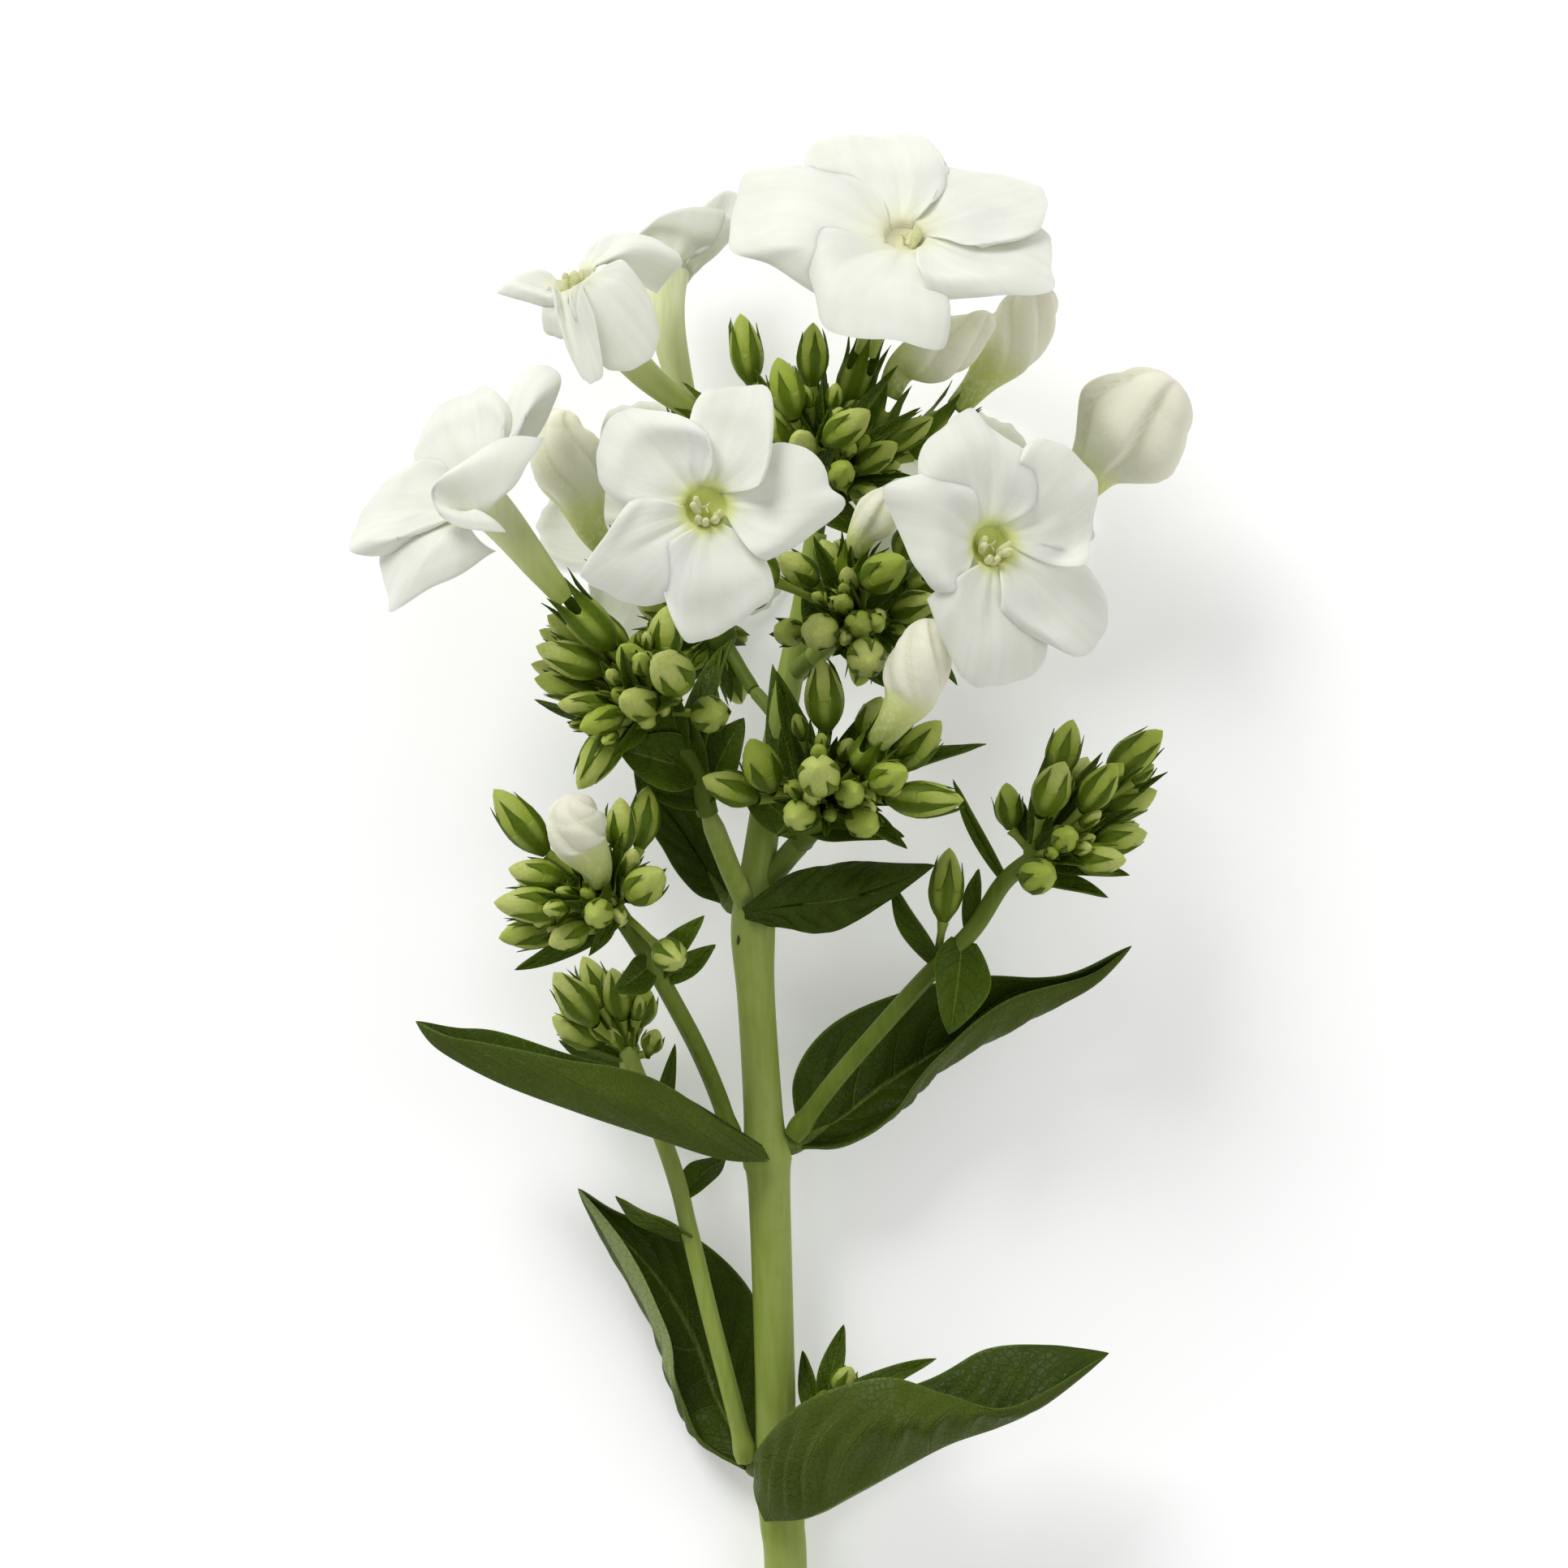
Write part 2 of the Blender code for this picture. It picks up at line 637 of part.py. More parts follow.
def stem_shapes():
    points = [row[:3] for row in STEM_LINE]
    radii = [row[3] for row in STEM_LINE]
    path = smooth_curve([place(*p) for p in points], STEM_RINGS)
    sizes = smooth_curve([[r] for r in radii], STEM_RINGS)[:, 0]
    shapes = [tube(path, sizes, STEM_SIDES, hint=(0.0, 0.0, 1.0))]
    for line in BRANCHES.values():
        wide = 1.55 if line[-1][1] < 95 else BRANCH_RADIUS
        shapes.append(rod(line, [wide] * len(line), len(line) + 1))
    return shapes


# Large leaves, each by rails from base to tip: margin, middle of the half, midrib, middle, margin
LEAVES = {
    "leaf_middle_left": [
        [(-2.0, 51.8, 4.0), (-8.0, 55.6, 8.5), (-16.2, 60.6, 10.3), (-26.0, 62.6, 14.0),
         (-35.5, 64.6, 13.4), (-41.0, 65.6, 13.4), (-44.8, 67.4, 12.0)],
        [(-1.8, 51.1, 3.9), (-7.6, 53.0, 9.5), (-16.0, 56.6, 13.0), (-25.5, 59.6, 14.2),
         (-35.0, 62.2, 13.0), (-41.3, 64.9, 12.9), (-44.8, 67.4, 12.0)],
        [(-1.4, 50.4, 4.2), (-7.2, 50.9, 8.0), (-16.0, 53.7, 10.5), (-25.0, 56.7, 11.8),
         (-34.2, 60.2, 12.0), (-41.6, 64.2, 12.0), (-44.8, 67.4, 12.0)],
        [(-1.8, 51.2, 3.9), (-7.6, 53.4, 6.2), (-16.0, 57.0, 7.6), (-25.5, 60.0, 8.8),
         (-35.0, 63.2, 10.0), (-40.6, 65.2, 10.6), (-44.8, 67.4, 12.0)],
        [(-2.2, 52.2, 3.8), (-8.0, 55.8, 4.6), (-16.0, 60.4, 5.6), (-26.0, 63.4, 7.0),
         (-35.2, 66.2, 8.2), (-39.8, 66.6, 9.2), (-44.8, 67.4, 12.0)],
    ],
    "leaf_middle_right": [
        [(2.4, 53.2, -0.6), (1.8, 60.0, -2.4), (5.6, 66.4, -4.0), (14.0, 70.6, -4.6),
         (24.5, 72.9, -3.4), (35.0, 73.0, -1.0), (43.5, 76.7, 1.0)],
        [(2.4, 52.8, -0.8), (4.6, 57.4, -3.6), (9.0, 62.4, -6.0), (17.0, 67.0, -6.4),
         (27.0, 70.2, -4.6), (36.0, 72.4, -1.6), (43.5, 76.7, 1.0)],
        [(2.6, 52.4, -0.8), (7.6, 55.4, -4.2), (13.0, 59.6, -6.8), (20.5, 64.2, -7.2),
         (29.0, 68.4, -5.2), (37.0, 72.0, -1.8), (43.5, 76.7, 1.0)],
        [(2.6, 52.0, -0.4), (8.6, 53.2, -1.8), (15.4, 57.0, -4.0), (21.0, 62.0, -4.0),
         (32.0, 68.2, -2.0), (38.6, 71.8, 0.0), (43.5, 76.7, 1.0)],
        [(2.8, 51.8, 0.2), (8.6, 52.2, 0.6), (14.6, 56.4, -0.6), (19.6, 63.2, 0.4),
         (28.0, 70.0, 0.8), (38.0, 73.0, 1.0), (43.5, 76.7, 1.0)],
    ],
    "leaf_upper_right": [
        [(-4.6, 81.4, 3.9), (2.0, 85.7, 4.2), (8.5, 87.0, 4.8), (14.0, 86.8, 6.0),
         (19.2, 86.6, 7.2)],
        [(-4.4, 81.0, 3.9), (2.0, 84.2, 5.4), (8.5, 85.2, 6.4), (14.0, 85.8, 7.0),
         (19.2, 86.6, 7.2)],
        [(-4.2, 80.7, 4.0), (1.6, 81.6, 6.2), (8.0, 82.4, 7.6), (13.6, 84.2, 7.8),
         (19.2, 86.6, 7.2)],
        [(-4.2, 80.3, 3.9), (1.2, 80.2, 5.2), (7.0, 80.0, 6.6), (13.0, 82.8, 7.4),
         (19.2, 86.6, 7.2)],
        [(-4.2, 80.0, 3.8), (0.4, 78.9, 4.0), (5.8, 78.2, 5.4), (12.0, 81.2, 7.0),
         (19.2, 86.6, 7.2)],
    ],
    "leaf_upper_left": [
        [(-6.4, 81.6, -2.2), (-11.0, 83.7, -3.2), (-14.8, 89.2, -3.0), (-17.3, 94.7, -1.6),
         (-18.0, 100.2, 0.0)],
        [(-6.2, 82.0, -2.4), (-8.8, 85.8, -4.6), (-12.0, 90.8, -4.8), (-15.6, 95.6, -2.6),
         (-18.0, 100.2, 0.0)],
        [(-6.0, 82.4, -2.4), (-6.4, 87.4, -4.0), (-9.0, 92.4, -4.4), (-13.4, 96.4, -2.4),
         (-18.0, 100.2, 0.0)],
    ],
    "leaf_lower_left": [
        [(-3.1, 13.4, -2.3), (-1.8, 22.0, -5.2), (-3.2, 33.5, -6.4), (-11.0, 41.2, -6.4),
         (-19.5, 43.7, -4.8), (-24.8, 46.8, -2.0)],
        [(-3.2, 13.0, -2.5), (-4.4, 21.5, -6.2), (-7.0, 31.0, -7.6), (-13.2, 38.4, -7.6),
         (-20.4, 43.0, -5.4), (-24.8, 46.8, -2.0)],
        [(-3.4, 12.6, -2.6), (-7.6, 20.6, -6.4), (-10.6, 28.6, -7.8), (-15.2, 36.0, -7.6),
         (-21.0, 42.4, -5.2), (-24.8, 46.8, -2.0)],
        [(-3.8, 12.3, -2.2), (-10.2, 16.4, -5.0), (-13.4, 23.0, -6.2), (-16.0, 30.4, -5.6),
         (-21.4, 40.0, -3.0), (-24.8, 46.8, -2.0)],
        [(-4.3, 12.3, -1.8), (-9.6, 15.6, -2.6), (-12.4, 22.4, -2.8), (-14.0, 29.6, -1.6),
         (-18.8, 39.6, -0.2), (-24.8, 46.8, -2.0)],
    ],
    "leaf_lower_right": [
        [(-3.0, 10.4, 4.4), (-2.4, 15.0, 8.0), (3.6, 20.8, 13.2), (12.6, 23.5, 16.4),
         (21.0, 21.3, 16.6), (28.7, 19.9, 16.2), (40.7, 26.5, 11.0)],
        [(-2.6, 8.2, 5.4), (0.0, 11.0, 10.4), (6.6, 15.2, 16.4), (15.3, 17.3, 20.4),
         (23.8, 18.8, 17.6), (30.9, 19.4, 14.8), (40.7, 26.5, 11.0)],
        [(-1.6, 6.2, 5.0), (3.7, 6.7, 9.2), (10.5, 10.2, 12.7), (20.4, 15.5, 15.2),
         (27.0, 17.9, 13.0), (32.4, 20.6, 13.2), (40.7, 26.5, 11.0)],
        [(-0.2, 7.8, 4.0), (4.0, 11.3, 6.3), (10.4, 15.0, 8.4), (19.8, 19.6, 9.6),
         (27.4, 21.6, 10.4), (33.2, 25.0, 11.2), (40.7, 26.5, 11.0)],
        [(0.6, 9.8, 3.9), (4.4, 15.2, 4.8), (10.9, 20.4, 5.4), (19.0, 23.4, 6.6),
         (25.4, 27.0, 7.6), (33.4, 27.5, 9.4), (40.7, 26.5, 11.0)],
    ],
}

# Cymes of the head and leafy side shoots. Buds are (tip), (base), radius; bracts base, tip, width, turn.
CYMES = {
    "cyme_top": {
        "hub": (5.5, 134.0, 1.5),
        "stalk": [(4.8, 128.0, 0.0), (5.3, 131.2, 0.7), (5.5, 134.0, 1.5)],
        "buds": [
            ((-4.8, 154.6, 1.0), (-3.4, 145.8, 1.0), 2.3),
            ((4.2, 153.5, 2.0), (4.0, 145.6, 2.0), 2.2),
            ((-0.2, 149.2, 8.5), (1.9, 141.6, 7.0), 2.4),
            ((11.2, 142.6, 14.0), (5.6, 138.6, 10.0), 2.3),
            ((-1.4, 143.6, 3.6), (1.4, 137.6, 3.0), 2.1),
            ((14.6, 138.6, 9.5), (9.4, 135.4, 7.5), 2.0),
            ((8.2, 135.6, 15.0), (7.2, 134.2, 8.0), 1.8),
            ((2.4, 139.8, 13.5), (3.4, 137.0, 7.5), 1.9),
            ((19.0, 141.8, 3.0), (12.6, 137.6, 2.6), 2.0),
            ((9.6, 148.6, -4.0), (8.4, 141.6, -2.6), 2.1),
            ((0.2, 148.8, -6.0), (2.2, 142.2, -4.2), 2.1),
            ((12.8, 131.6, 10.0), (9.0, 132.6, 6.0), 1.7),
        ],
        "bracts": [
            ((6.4, 136.0, 1.0), (14.6, 148.2, 6.2), 2.6, 40),
            ((7.6, 134.6, 2.4), (17.4, 143.0, 7.4), 2.4, 20),
            ((3.6, 135.4, 0.5), (-5.4, 139.6, 3.0), 2.6, 10),
        ],
    },
    "cyme_middle": {
        "hub": (10.0, 116.5, 6.5),
        "stalk": [(4.9, 112.8, 3.9), (7.6, 114.8, 5.6), (10.0, 116.5, 6.5)],
        "buds": [
            ((15.4, 124.3, 19.0), (10.6, 121.2, 13.0), 2.7),
            ((19.6, 119.4, 15.0), (14.0, 117.6, 11.0), 2.3),
            ((0.0, 124.9, 11.5), (4.6, 121.4, 8.5), 2.2),
            ((-0.2, 115.4, 20.0), (2.4, 115.2, 13.6), 1.9),
            ((4.3, 115.3, 25.0), (5.6, 115.4, 16.8), 2.5),
            ((10.0, 116.0, 24.0), (9.8, 116.2, 16.6), 1.9),
            ((11.2, 111.6, 26.0), (10.4, 112.6, 17.6), 2.6),
            ((5.2, 126.8, 7.0), (7.2, 121.8, 6.6), 1.9),
            ((14.0, 110.6, 13.0), (12.2, 113.4, 9.2), 1.8),
        ],
        "bracts": [
            ((8.6, 118.0, 8.0), (4.2, 127.2, 13.0), 2.8, 15),
        ],
    },
    "cyme_front": {
        "hub": (5.6, 94.4, 13.0),
        "stalk": [(3.2, 90.1, 5.1), (4.6, 92.0, 9.0), (5.6, 94.4, 13.0)],
        "buds": [
            ((5.3, 112.0, 20.0), (5.8, 103.0, 19.0), 2.6),
            ((12.6, 107.4, 17.4), (10.6, 101.6, 16.0), 2.2),
            ((-3.6, 102.2, 22.0), (-0.8, 95.8, 19.0), 2.5),
            ((4.6, 98.6, 35.0), (5.2, 96.8, 26.0), 2.8),
            ((-9.5, 97.4, 17.0), (-2.6, 94.8, 16.4), 2.3),
            ((1.8, 92.4, 30.0), (3.0, 93.2, 21.6), 2.1),
            ((9.4, 95.6, 31.0), (8.2, 95.2, 23.0), 1.9),
            ((11.4, 91.2, 29.0), (9.4, 92.6, 21.4), 2.2),
            ((22.8, 94.6, 24.0), (13.2, 94.8, 20.8), 2.5),
            ((20.0, 104.4, 18.0), (14.4, 98.4, 17.0), 2.4),
            ((15.6, 98.2, 27.0), (11.6, 96.6, 21.0), 2.1),
        ],
        "bracts": [
            ((7.0, 93.6, 14.0), (15.8, 88.7, 18.0), 3.6, 30),
            ((8.0, 95.6, 13.6), (25.5, 101.6, 15.0), 3.6, 40),
            ((4.4, 93.4, 13.6), (-0.4, 90.2, 19.0), 3.0, 20),
            ((3.4, 96.0, 12.8), (-0.4, 110.6, 10.0), 3.6, 0),
        ],
    },
    "cyme_left": {
        "hub": (-16.0, 105.4, 9.5),
        "stalk": [(-8.9, 93.6, 7.3), (-11.6, 99.0, 8.8), (-16.0, 105.4, 9.5)],
        "buds": [
            ((-28.6, 117.4, 8.0), (-21.6, 112.8, 8.4), 2.2),
            ((-30.0, 113.6, 12.4), (-21.4, 110.4, 11.4), 2.3),
            ((-30.2, 109.6, 8.4), (-21.4, 107.6, 8.8), 2.4),
            ((-27.4, 118.4, 2.6), (-20.6, 113.2, 4.4), 2.1),
            ((-24.8, 95.9, 15.0), (-19.4, 104.2, 13.4), 2.6),
            ((-14.9, 112.2, 27.0), (-11.8, 108.6, 19.6), 2.8),
            ((-19.4, 107.2, 23.4), (-15.4, 105.8, 16.4), 2.2),
            ((-19.4, 113.6, 20.0), (-16.8, 110.0, 14.0), 2.1),
            ((-7.2, 105.2, 23.0), (-9.6, 105.2, 15.6), 2.5),
            ((-13.8, 118.6, 14.0), (-14.4, 111.4, 12.0), 2.4),
            ((-24.6, 103.4, 17.4), (-19.2, 105.4, 13.6), 1.9),
        ],
        "bracts": [
            ((-17.6, 105.2, 8.2), (-30.2, 107.0, 3.6), 3.4, 50),
            ((-14.8, 103.6, 7.6), (-26.2, 104.2, 5.0), 3.4, 20),
            ((-10.6, 101.6, 7.4), (-5.6, 114.6, 4.0), 3.6, 30),
        ],
    },
    "cyme_back_left": {
        "hub": (-7.4, 115.4, -8.0),
        "stalk": [(-3.7, 109.1, -4.3), (-5.6, 112.2, -6.6), (-7.4, 115.4, -8.0)],
        "buds": [
            ((-16.4, 108.6, -13.0), (-11.4, 112.4, -10.8), 2.2),
            ((-19.4, 113.2, -7.6), (-12.8, 114.6, -7.8), 2.3),
            ((-4.8, 106.4, -14.8), (-6.2, 111.4, -11.6), 2.1),
            ((-17.8, 119.6, -3.0), (-12.4, 117.4, -4.6), 2.2),
            ((-1.6, 122.2, -13.6), (-4.4, 118.4, -10.8), 2.2),
            ((-9.8, 103.2, -8.6), (-8.8, 109.6, -8.4), 2.1),
        ],
        "bracts": [
            ((-8.4, 114.4, -9.0), (-18.0, 105.4, -9.0), 3.2, 30),
        ],
    },
    "cyme_back_right": {
        "hub": (12.4, 119.0, -8.0),
        "stalk": [(6.9, 114.1, -4.3), (9.6, 116.6, -6.6), (12.4, 119.0, -8.0)],
        "buds": [
            ((19.4, 111.6, -12.4), (15.6, 115.4, -10.6), 2.2),
            ((22.6, 115.8, -5.0), (16.8, 117.4, -6.4), 2.3),
            ((9.6, 108.6, -13.0), (11.0, 113.8, -10.8), 2.1),
            ((6.8, 126.6, -12.8), (9.4, 122.6, -10.6), 2.2),
            ((17.2, 129.4, -4.4), (14.8, 124.2, -6.0), 2.2),
            ((16.6, 106.4, -5.6), (14.2, 112.6, -6.8), 2.1),
        ],
        "bracts": [
            ((13.2, 118.0, -9.0), (22.0, 108.8, -8.0), 3.2, 30),
        ],
    },
    "shoot_left": {
        "hub": (-20.4, 81.6, 14.0),
        "stalk": [(-6.1, 53.8, 0.8), (-7.4, 58.0, 1.8), (-10.2, 64.4, 6.4), (-13.6, 70.8, 10.8),
                  (-16.6, 75.8, 12.8), (-20.4, 81.6, 14.0)],
        "buds": [
            ((-35.2, 96.0, 13.0), (-28.6, 88.0, 13.4), 2.4),
            ((-19.6, 95.0, 16.0), (-19.4, 88.0, 15.4), 2.2),
            ((-16.2, 96.4, 10.0), (-17.2, 88.6, 11.4), 2.2),
            ((-14.4, 85.8, 25.0), (-18.4, 82.6, 19.6), 2.5),
            ((-33.4, 86.2, 14.6), (-26.4, 84.6, 14.6), 2.2),
            ((-35.2, 82.0, 19.0), (-26.4, 81.4, 17.4), 2.4),
            ((-34.6, 77.6, 13.0), (-26.2, 79.2, 13.4), 2.3),
            ((-22.8, 80.2, 27.0), (-21.8, 81.0, 19.4), 1.9),
            ((-28.4, 76.8, 19.0), (-23.6, 79.2, 16.4), 1.9),
            ((-12.2, 74.8, 23.0), (-14.6, 76.2, 16.4), 2.2),
            ((-26.4, 92.6, 8.4), (-23.6, 86.4, 11.0), 2.2),
            ((-27.6, 84.0, 6.0), (-23.8, 82.6, 9.4), 2.2),
        ],
        "bracts": [
            ((-21.0, 80.0, 12.6), (-32.6, 73.7, 10.6), 3.2, 20),
            ((-15.8, 74.4, 13.0), (-20.4, 71.0, 16.6), 4.6, 10),
            ((-14.6, 72.6, 12.6), (-9.2, 80.4, 14.0), 3.6, 20),
            ((-14.2, 72.0, 12.2), (-7.8, 76.8, 12.6), 3.2, -20),
        ],
    },
    "shoot_back_left": {
        "hub": (-18.4, 62.8, -5.6),
        "stalk": [(-4.3, 14.6, 0.4), (-6.4, 23.0, 0.8), (-9.0, 33.0, 0.8), (-11.2, 42.0, 0.2),
                  (-12.4, 47.0, -1.0), (-14.8, 54.0, -3.4), (-18.4, 62.8, -5.6)],
        "buds": [
            ((-27.8, 73.4, -3.6), (-22.6, 67.0, -4.8), 2.3),
            ((-24.2, 75.4, -9.4), (-21.0, 68.6, -8.0), 2.2),
            ((-20.6, 74.0, -3.4), (-19.4, 67.6, -4.6), 2.2),
            ((-28.0, 67.9, -4.2), (-21.6, 64.6, -5.2), 2.3),
            ((-16.6, 72.0, -7.0), (-17.4, 66.6, -6.4), 2.2),
            ((-15.0, 66.4, -3.8), (-16.2, 63.4, -4.6), 1.5),
        ],
        "bracts": [
            ((-18.0, 61.6, -5.2), (-27.2, 65.0, -8.4), 3.4, 40),
            ((-14.2, 52.6, -3.0), (-12.8, 64.6, -4.4), 2.6, 20),
            ((-11.0, 41.2, 0.6), (-20.2, 45.7, 3.4), 4.6, 50),
            ((-12.2, 46.0, -0.6), (-6.6, 50.6, -5.6), 4.0, 20),
        ],
    },
    "shoot_right": {
        "hub": (31.4, 87.6, 7.0),
        "stalk": [(2.6, 54.4, 1.6), (8.0, 61.4, 4.0), (17.0, 71.6, 5.4), (23.6, 78.4, 6.2),
                  (27.6, 84.4, 6.8), (31.4, 87.6, 7.0)],
        "buds": [
            ((36.2, 104.6, 7.0), (34.0, 97.4, 7.0), 2.3),
            ((47.3, 103.2, 8.0), (40.4, 97.6, 8.0), 2.6),
            ((35.2, 99.4, 13.6), (32.2, 92.8, 12.0), 2.5),
            ((41.6, 99.2, 14.4), (37.4, 93.4, 12.0), 2.3),
            ((46.6, 95.8, 4.6), (39.4, 92.6, 5.6), 2.3),
            ((45.4, 90.6, 10.0), (38.6, 89.0, 9.2), 2.2),
            ((42.8, 87.2, 15.0), (36.4, 87.4, 12.4), 2.1),
            ((33.4, 85.8, 18.0), (30.6, 84.8, 12.0), 2.3),
            ((28.0, 96.8, 5.6), (28.6, 91.0, 6.4), 1.9),
            ((36.0, 90.4, 18.4), (34.6, 89.4, 12.6), 1.7),
            ((38.0, 100.0, 1.0), (35.2, 93.6, 2.6), 2.2),
            ((41.6, 88.6, 2.6), (36.4, 88.2, 4.4), 2.1),
        ],
        "bracts": [
            ((32.0, 85.8, 7.2), (43.2, 85.4, 7.4), 3.2, 20),
            ((29.6, 84.6, 7.0), (40.6, 82.6, 8.6), 3.4, 40),
            ((26.8, 85.4, 6.6), (21.4, 97.2, 3.0), 1.9, 20),
            ((22.0, 77.6, 6.4), (21.0, 65.8, 11.4), 7.6, 10),
            ((19.6, 74.4, 5.6), (13.6, 84.6, 2.6), 3.4, 30),
            ((23.4, 78.4, 5.6), (24.6, 86.2, 2.4), 2.4, 10),
        ],
    },
    "shoot_lower": {
        "hub": (5.6, 19.6, 1.4),
        "stalk": [(3.2, 14.4, 1.0), (4.4, 17.0, 1.2), (5.6, 19.6, 1.4)],
        "buds": [
            ((8.9, 24.8, 3.4), (7.2, 21.6, 2.4), 1.7),
        ],
        "bracts": [
            ((6.2, 20.4, 1.2), (8.0, 30.0, 0.2), 3.2, 10),
            ((4.6, 18.0, -0.2), (2.9, 26.8, -2.8), 2.6, 10),
            ((7.0, 20.2, 1.4), (19.4, 25.8, 0.4), 3.2, 30),
        ],
    },
}

# Side buds with a stalk of their own on a shoot's stem: stem point, tip, base, radius
SIDE_BUDS = {
    "shoot_right": [((19.4, 74.6, 5.8), (21.0, 88.8, 4.6), (20.2, 79.6, 5.2), 2.3)],
}

PLAIN_FORM = {
    "length": PETAL_LENGTH, "half": PETAL_HALF_WIDTH, "skew": PETAL_SKEW, "round": PETAL_ROUND,
    "rise": 20.0, "droop": -14.0, "pinwheel": PETAL_PINWHEEL, "cup": 0.03, "wave": 0.35,
}


def form(**changes):
    return dict(PLAIN_FORM, **changes)


# Open flowers: throat, facing, roll of the first petal clockwise from the top, calyx mouth and base
FLOWERS = {
    "flower_top": {
        "cyme": "cyme_top", "throat": (15.5, 164.2, 12.0), "facing": (0.05, 0.66, 0.75),
        "roll": -14.0, "mouth": (10.6, 149.6, 0.6), "base": (8.4, 142.8, -1.8),
        "form": form(length=16.4, half=7.4, rise=18.0, droop=-8.0),
        "petals": {1: {"yaw": 3.0}, 2: {"yaw": -7.0}, 3: {"yaw": 4.0}, 4: {"length": 18.4, "yaw": 2}},
        "calyx": 3.1,
    },
    "flower_centre": {
        "cyme": "cyme_middle", "throat": (-9.0, 130.7, 36.0), "facing": (0.04, -0.04, 1.0),
        "roll": 17.0, "mouth": (-5.2, 125.4, 18.0), "base": (-0.6, 121.6, 13.0),
        "form": form(),
        "petals": {0: {"half": 5.4, "yaw": 4}, 1: {"yaw": -2}, 2: {"yaw": 8.0}, 4: {"yaw": 6.0}},
        "calyx": 3.1,
    },
    "flower_right": {
        "cyme": "cyme_middle", "throat": (26.2, 126.0, 29.0), "facing": (0.42, 0.0, 0.91),
        "roll": 0.0, "mouth": (20.2, 123.0, 12.6), "base": (16.6, 120.6, 8.2),
        "form": form(length=14.8),
        "petals": {1: {"yaw": -10.0}, 2: {"yaw": -8.0}, 3: {"yaw": -4.0}, 4: {"half": 5.8}},
        "calyx": 3.1,
    },
    "flower_left": {
        "cyme": "cyme_left", "throat": (-36.6, 131.6, 19.0), "facing": (-0.46, 0.50, 0.73),
        "roll": -20.0, "mouth": (-26.2, 119.4, 15.0), "base": (-20.4, 113.4, 14.0),
        "form": form(length=16.4, rise=10.0, droop=-8.0, half=6.4),
        "petals": {
            1: {"yaw": -12.0, "length": 16.6, "half": 5.0},
            2: {"length": 11.0, "rise": 34.0, "droop": 62.0, "half": 5.4},
            3: {"yaw": 14.0, "length": 16.4}, 4: {"length": 16.4},
        },
        "calyx": 3.1,
    },
    "flower_upper_left": {
        "cyme": "cyme_top", "throat": (-25.2, 158.6, 8.0), "facing": (-0.50, 0.80, 0.35),
        "roll": 0.0, "mouth": (-10.6, 142.8, 2.6), "base": (-4.6, 139.6, 2.2),
        "form": form(length=12.6, rise=6.0, droop=-88.0, half=5.6, cup=-0.10),
        "petals": {}, "calyx": 3.1,
    },
    "flower_behind": {
        "cyme": "cyme_back_left", "throat": (-13.6, 159.8, -12.0), "facing": (0.16, 0.84, -0.52),
        "roll": 0.0, "mouth": (-11.2, 141.8, -8.6), "base": (-9.8, 134.4, -8.2),
        "form": form(length=11.6, half=5.6, rise=30.0, droop=0.0), "petals": {}, "calyx": 3.1,
    },
    "flower_back_left": {
        "cyme": "cyme_back_left", "throat": (-13.6, 128.6, -21.9), "facing": (0.0, -0.139, -0.990),
        "roll": 12.0, "mouth": (-10.6, 122.4, -13.6), "base": (-9.2, 118.8, -10.6),
        "form": form(length=13.4, rise=8.0, droop=2.0, wave=0.1, cup=0.0), "petals": {},
        "calyx": 3.1,
    },
    "flower_back_right": {
        "cyme": "cyme_back_right", "throat": (22.6, 126.6, -21.6), "facing": (0.0, -0.139, -0.990),
        "roll": -20.0, "mouth": (18.0, 122.8, -13.4), "base": (15.6, 120.8, -10.4),
        "form": form(length=13.4, rise=8.0, droop=2.0, wave=0.1, cup=0.0), "petals": {},
        "calyx": 3.1,
    },
}
SHOWN_STAMENS = ("flower_top", "flower_centre", "flower_right", "flower_upper_left")

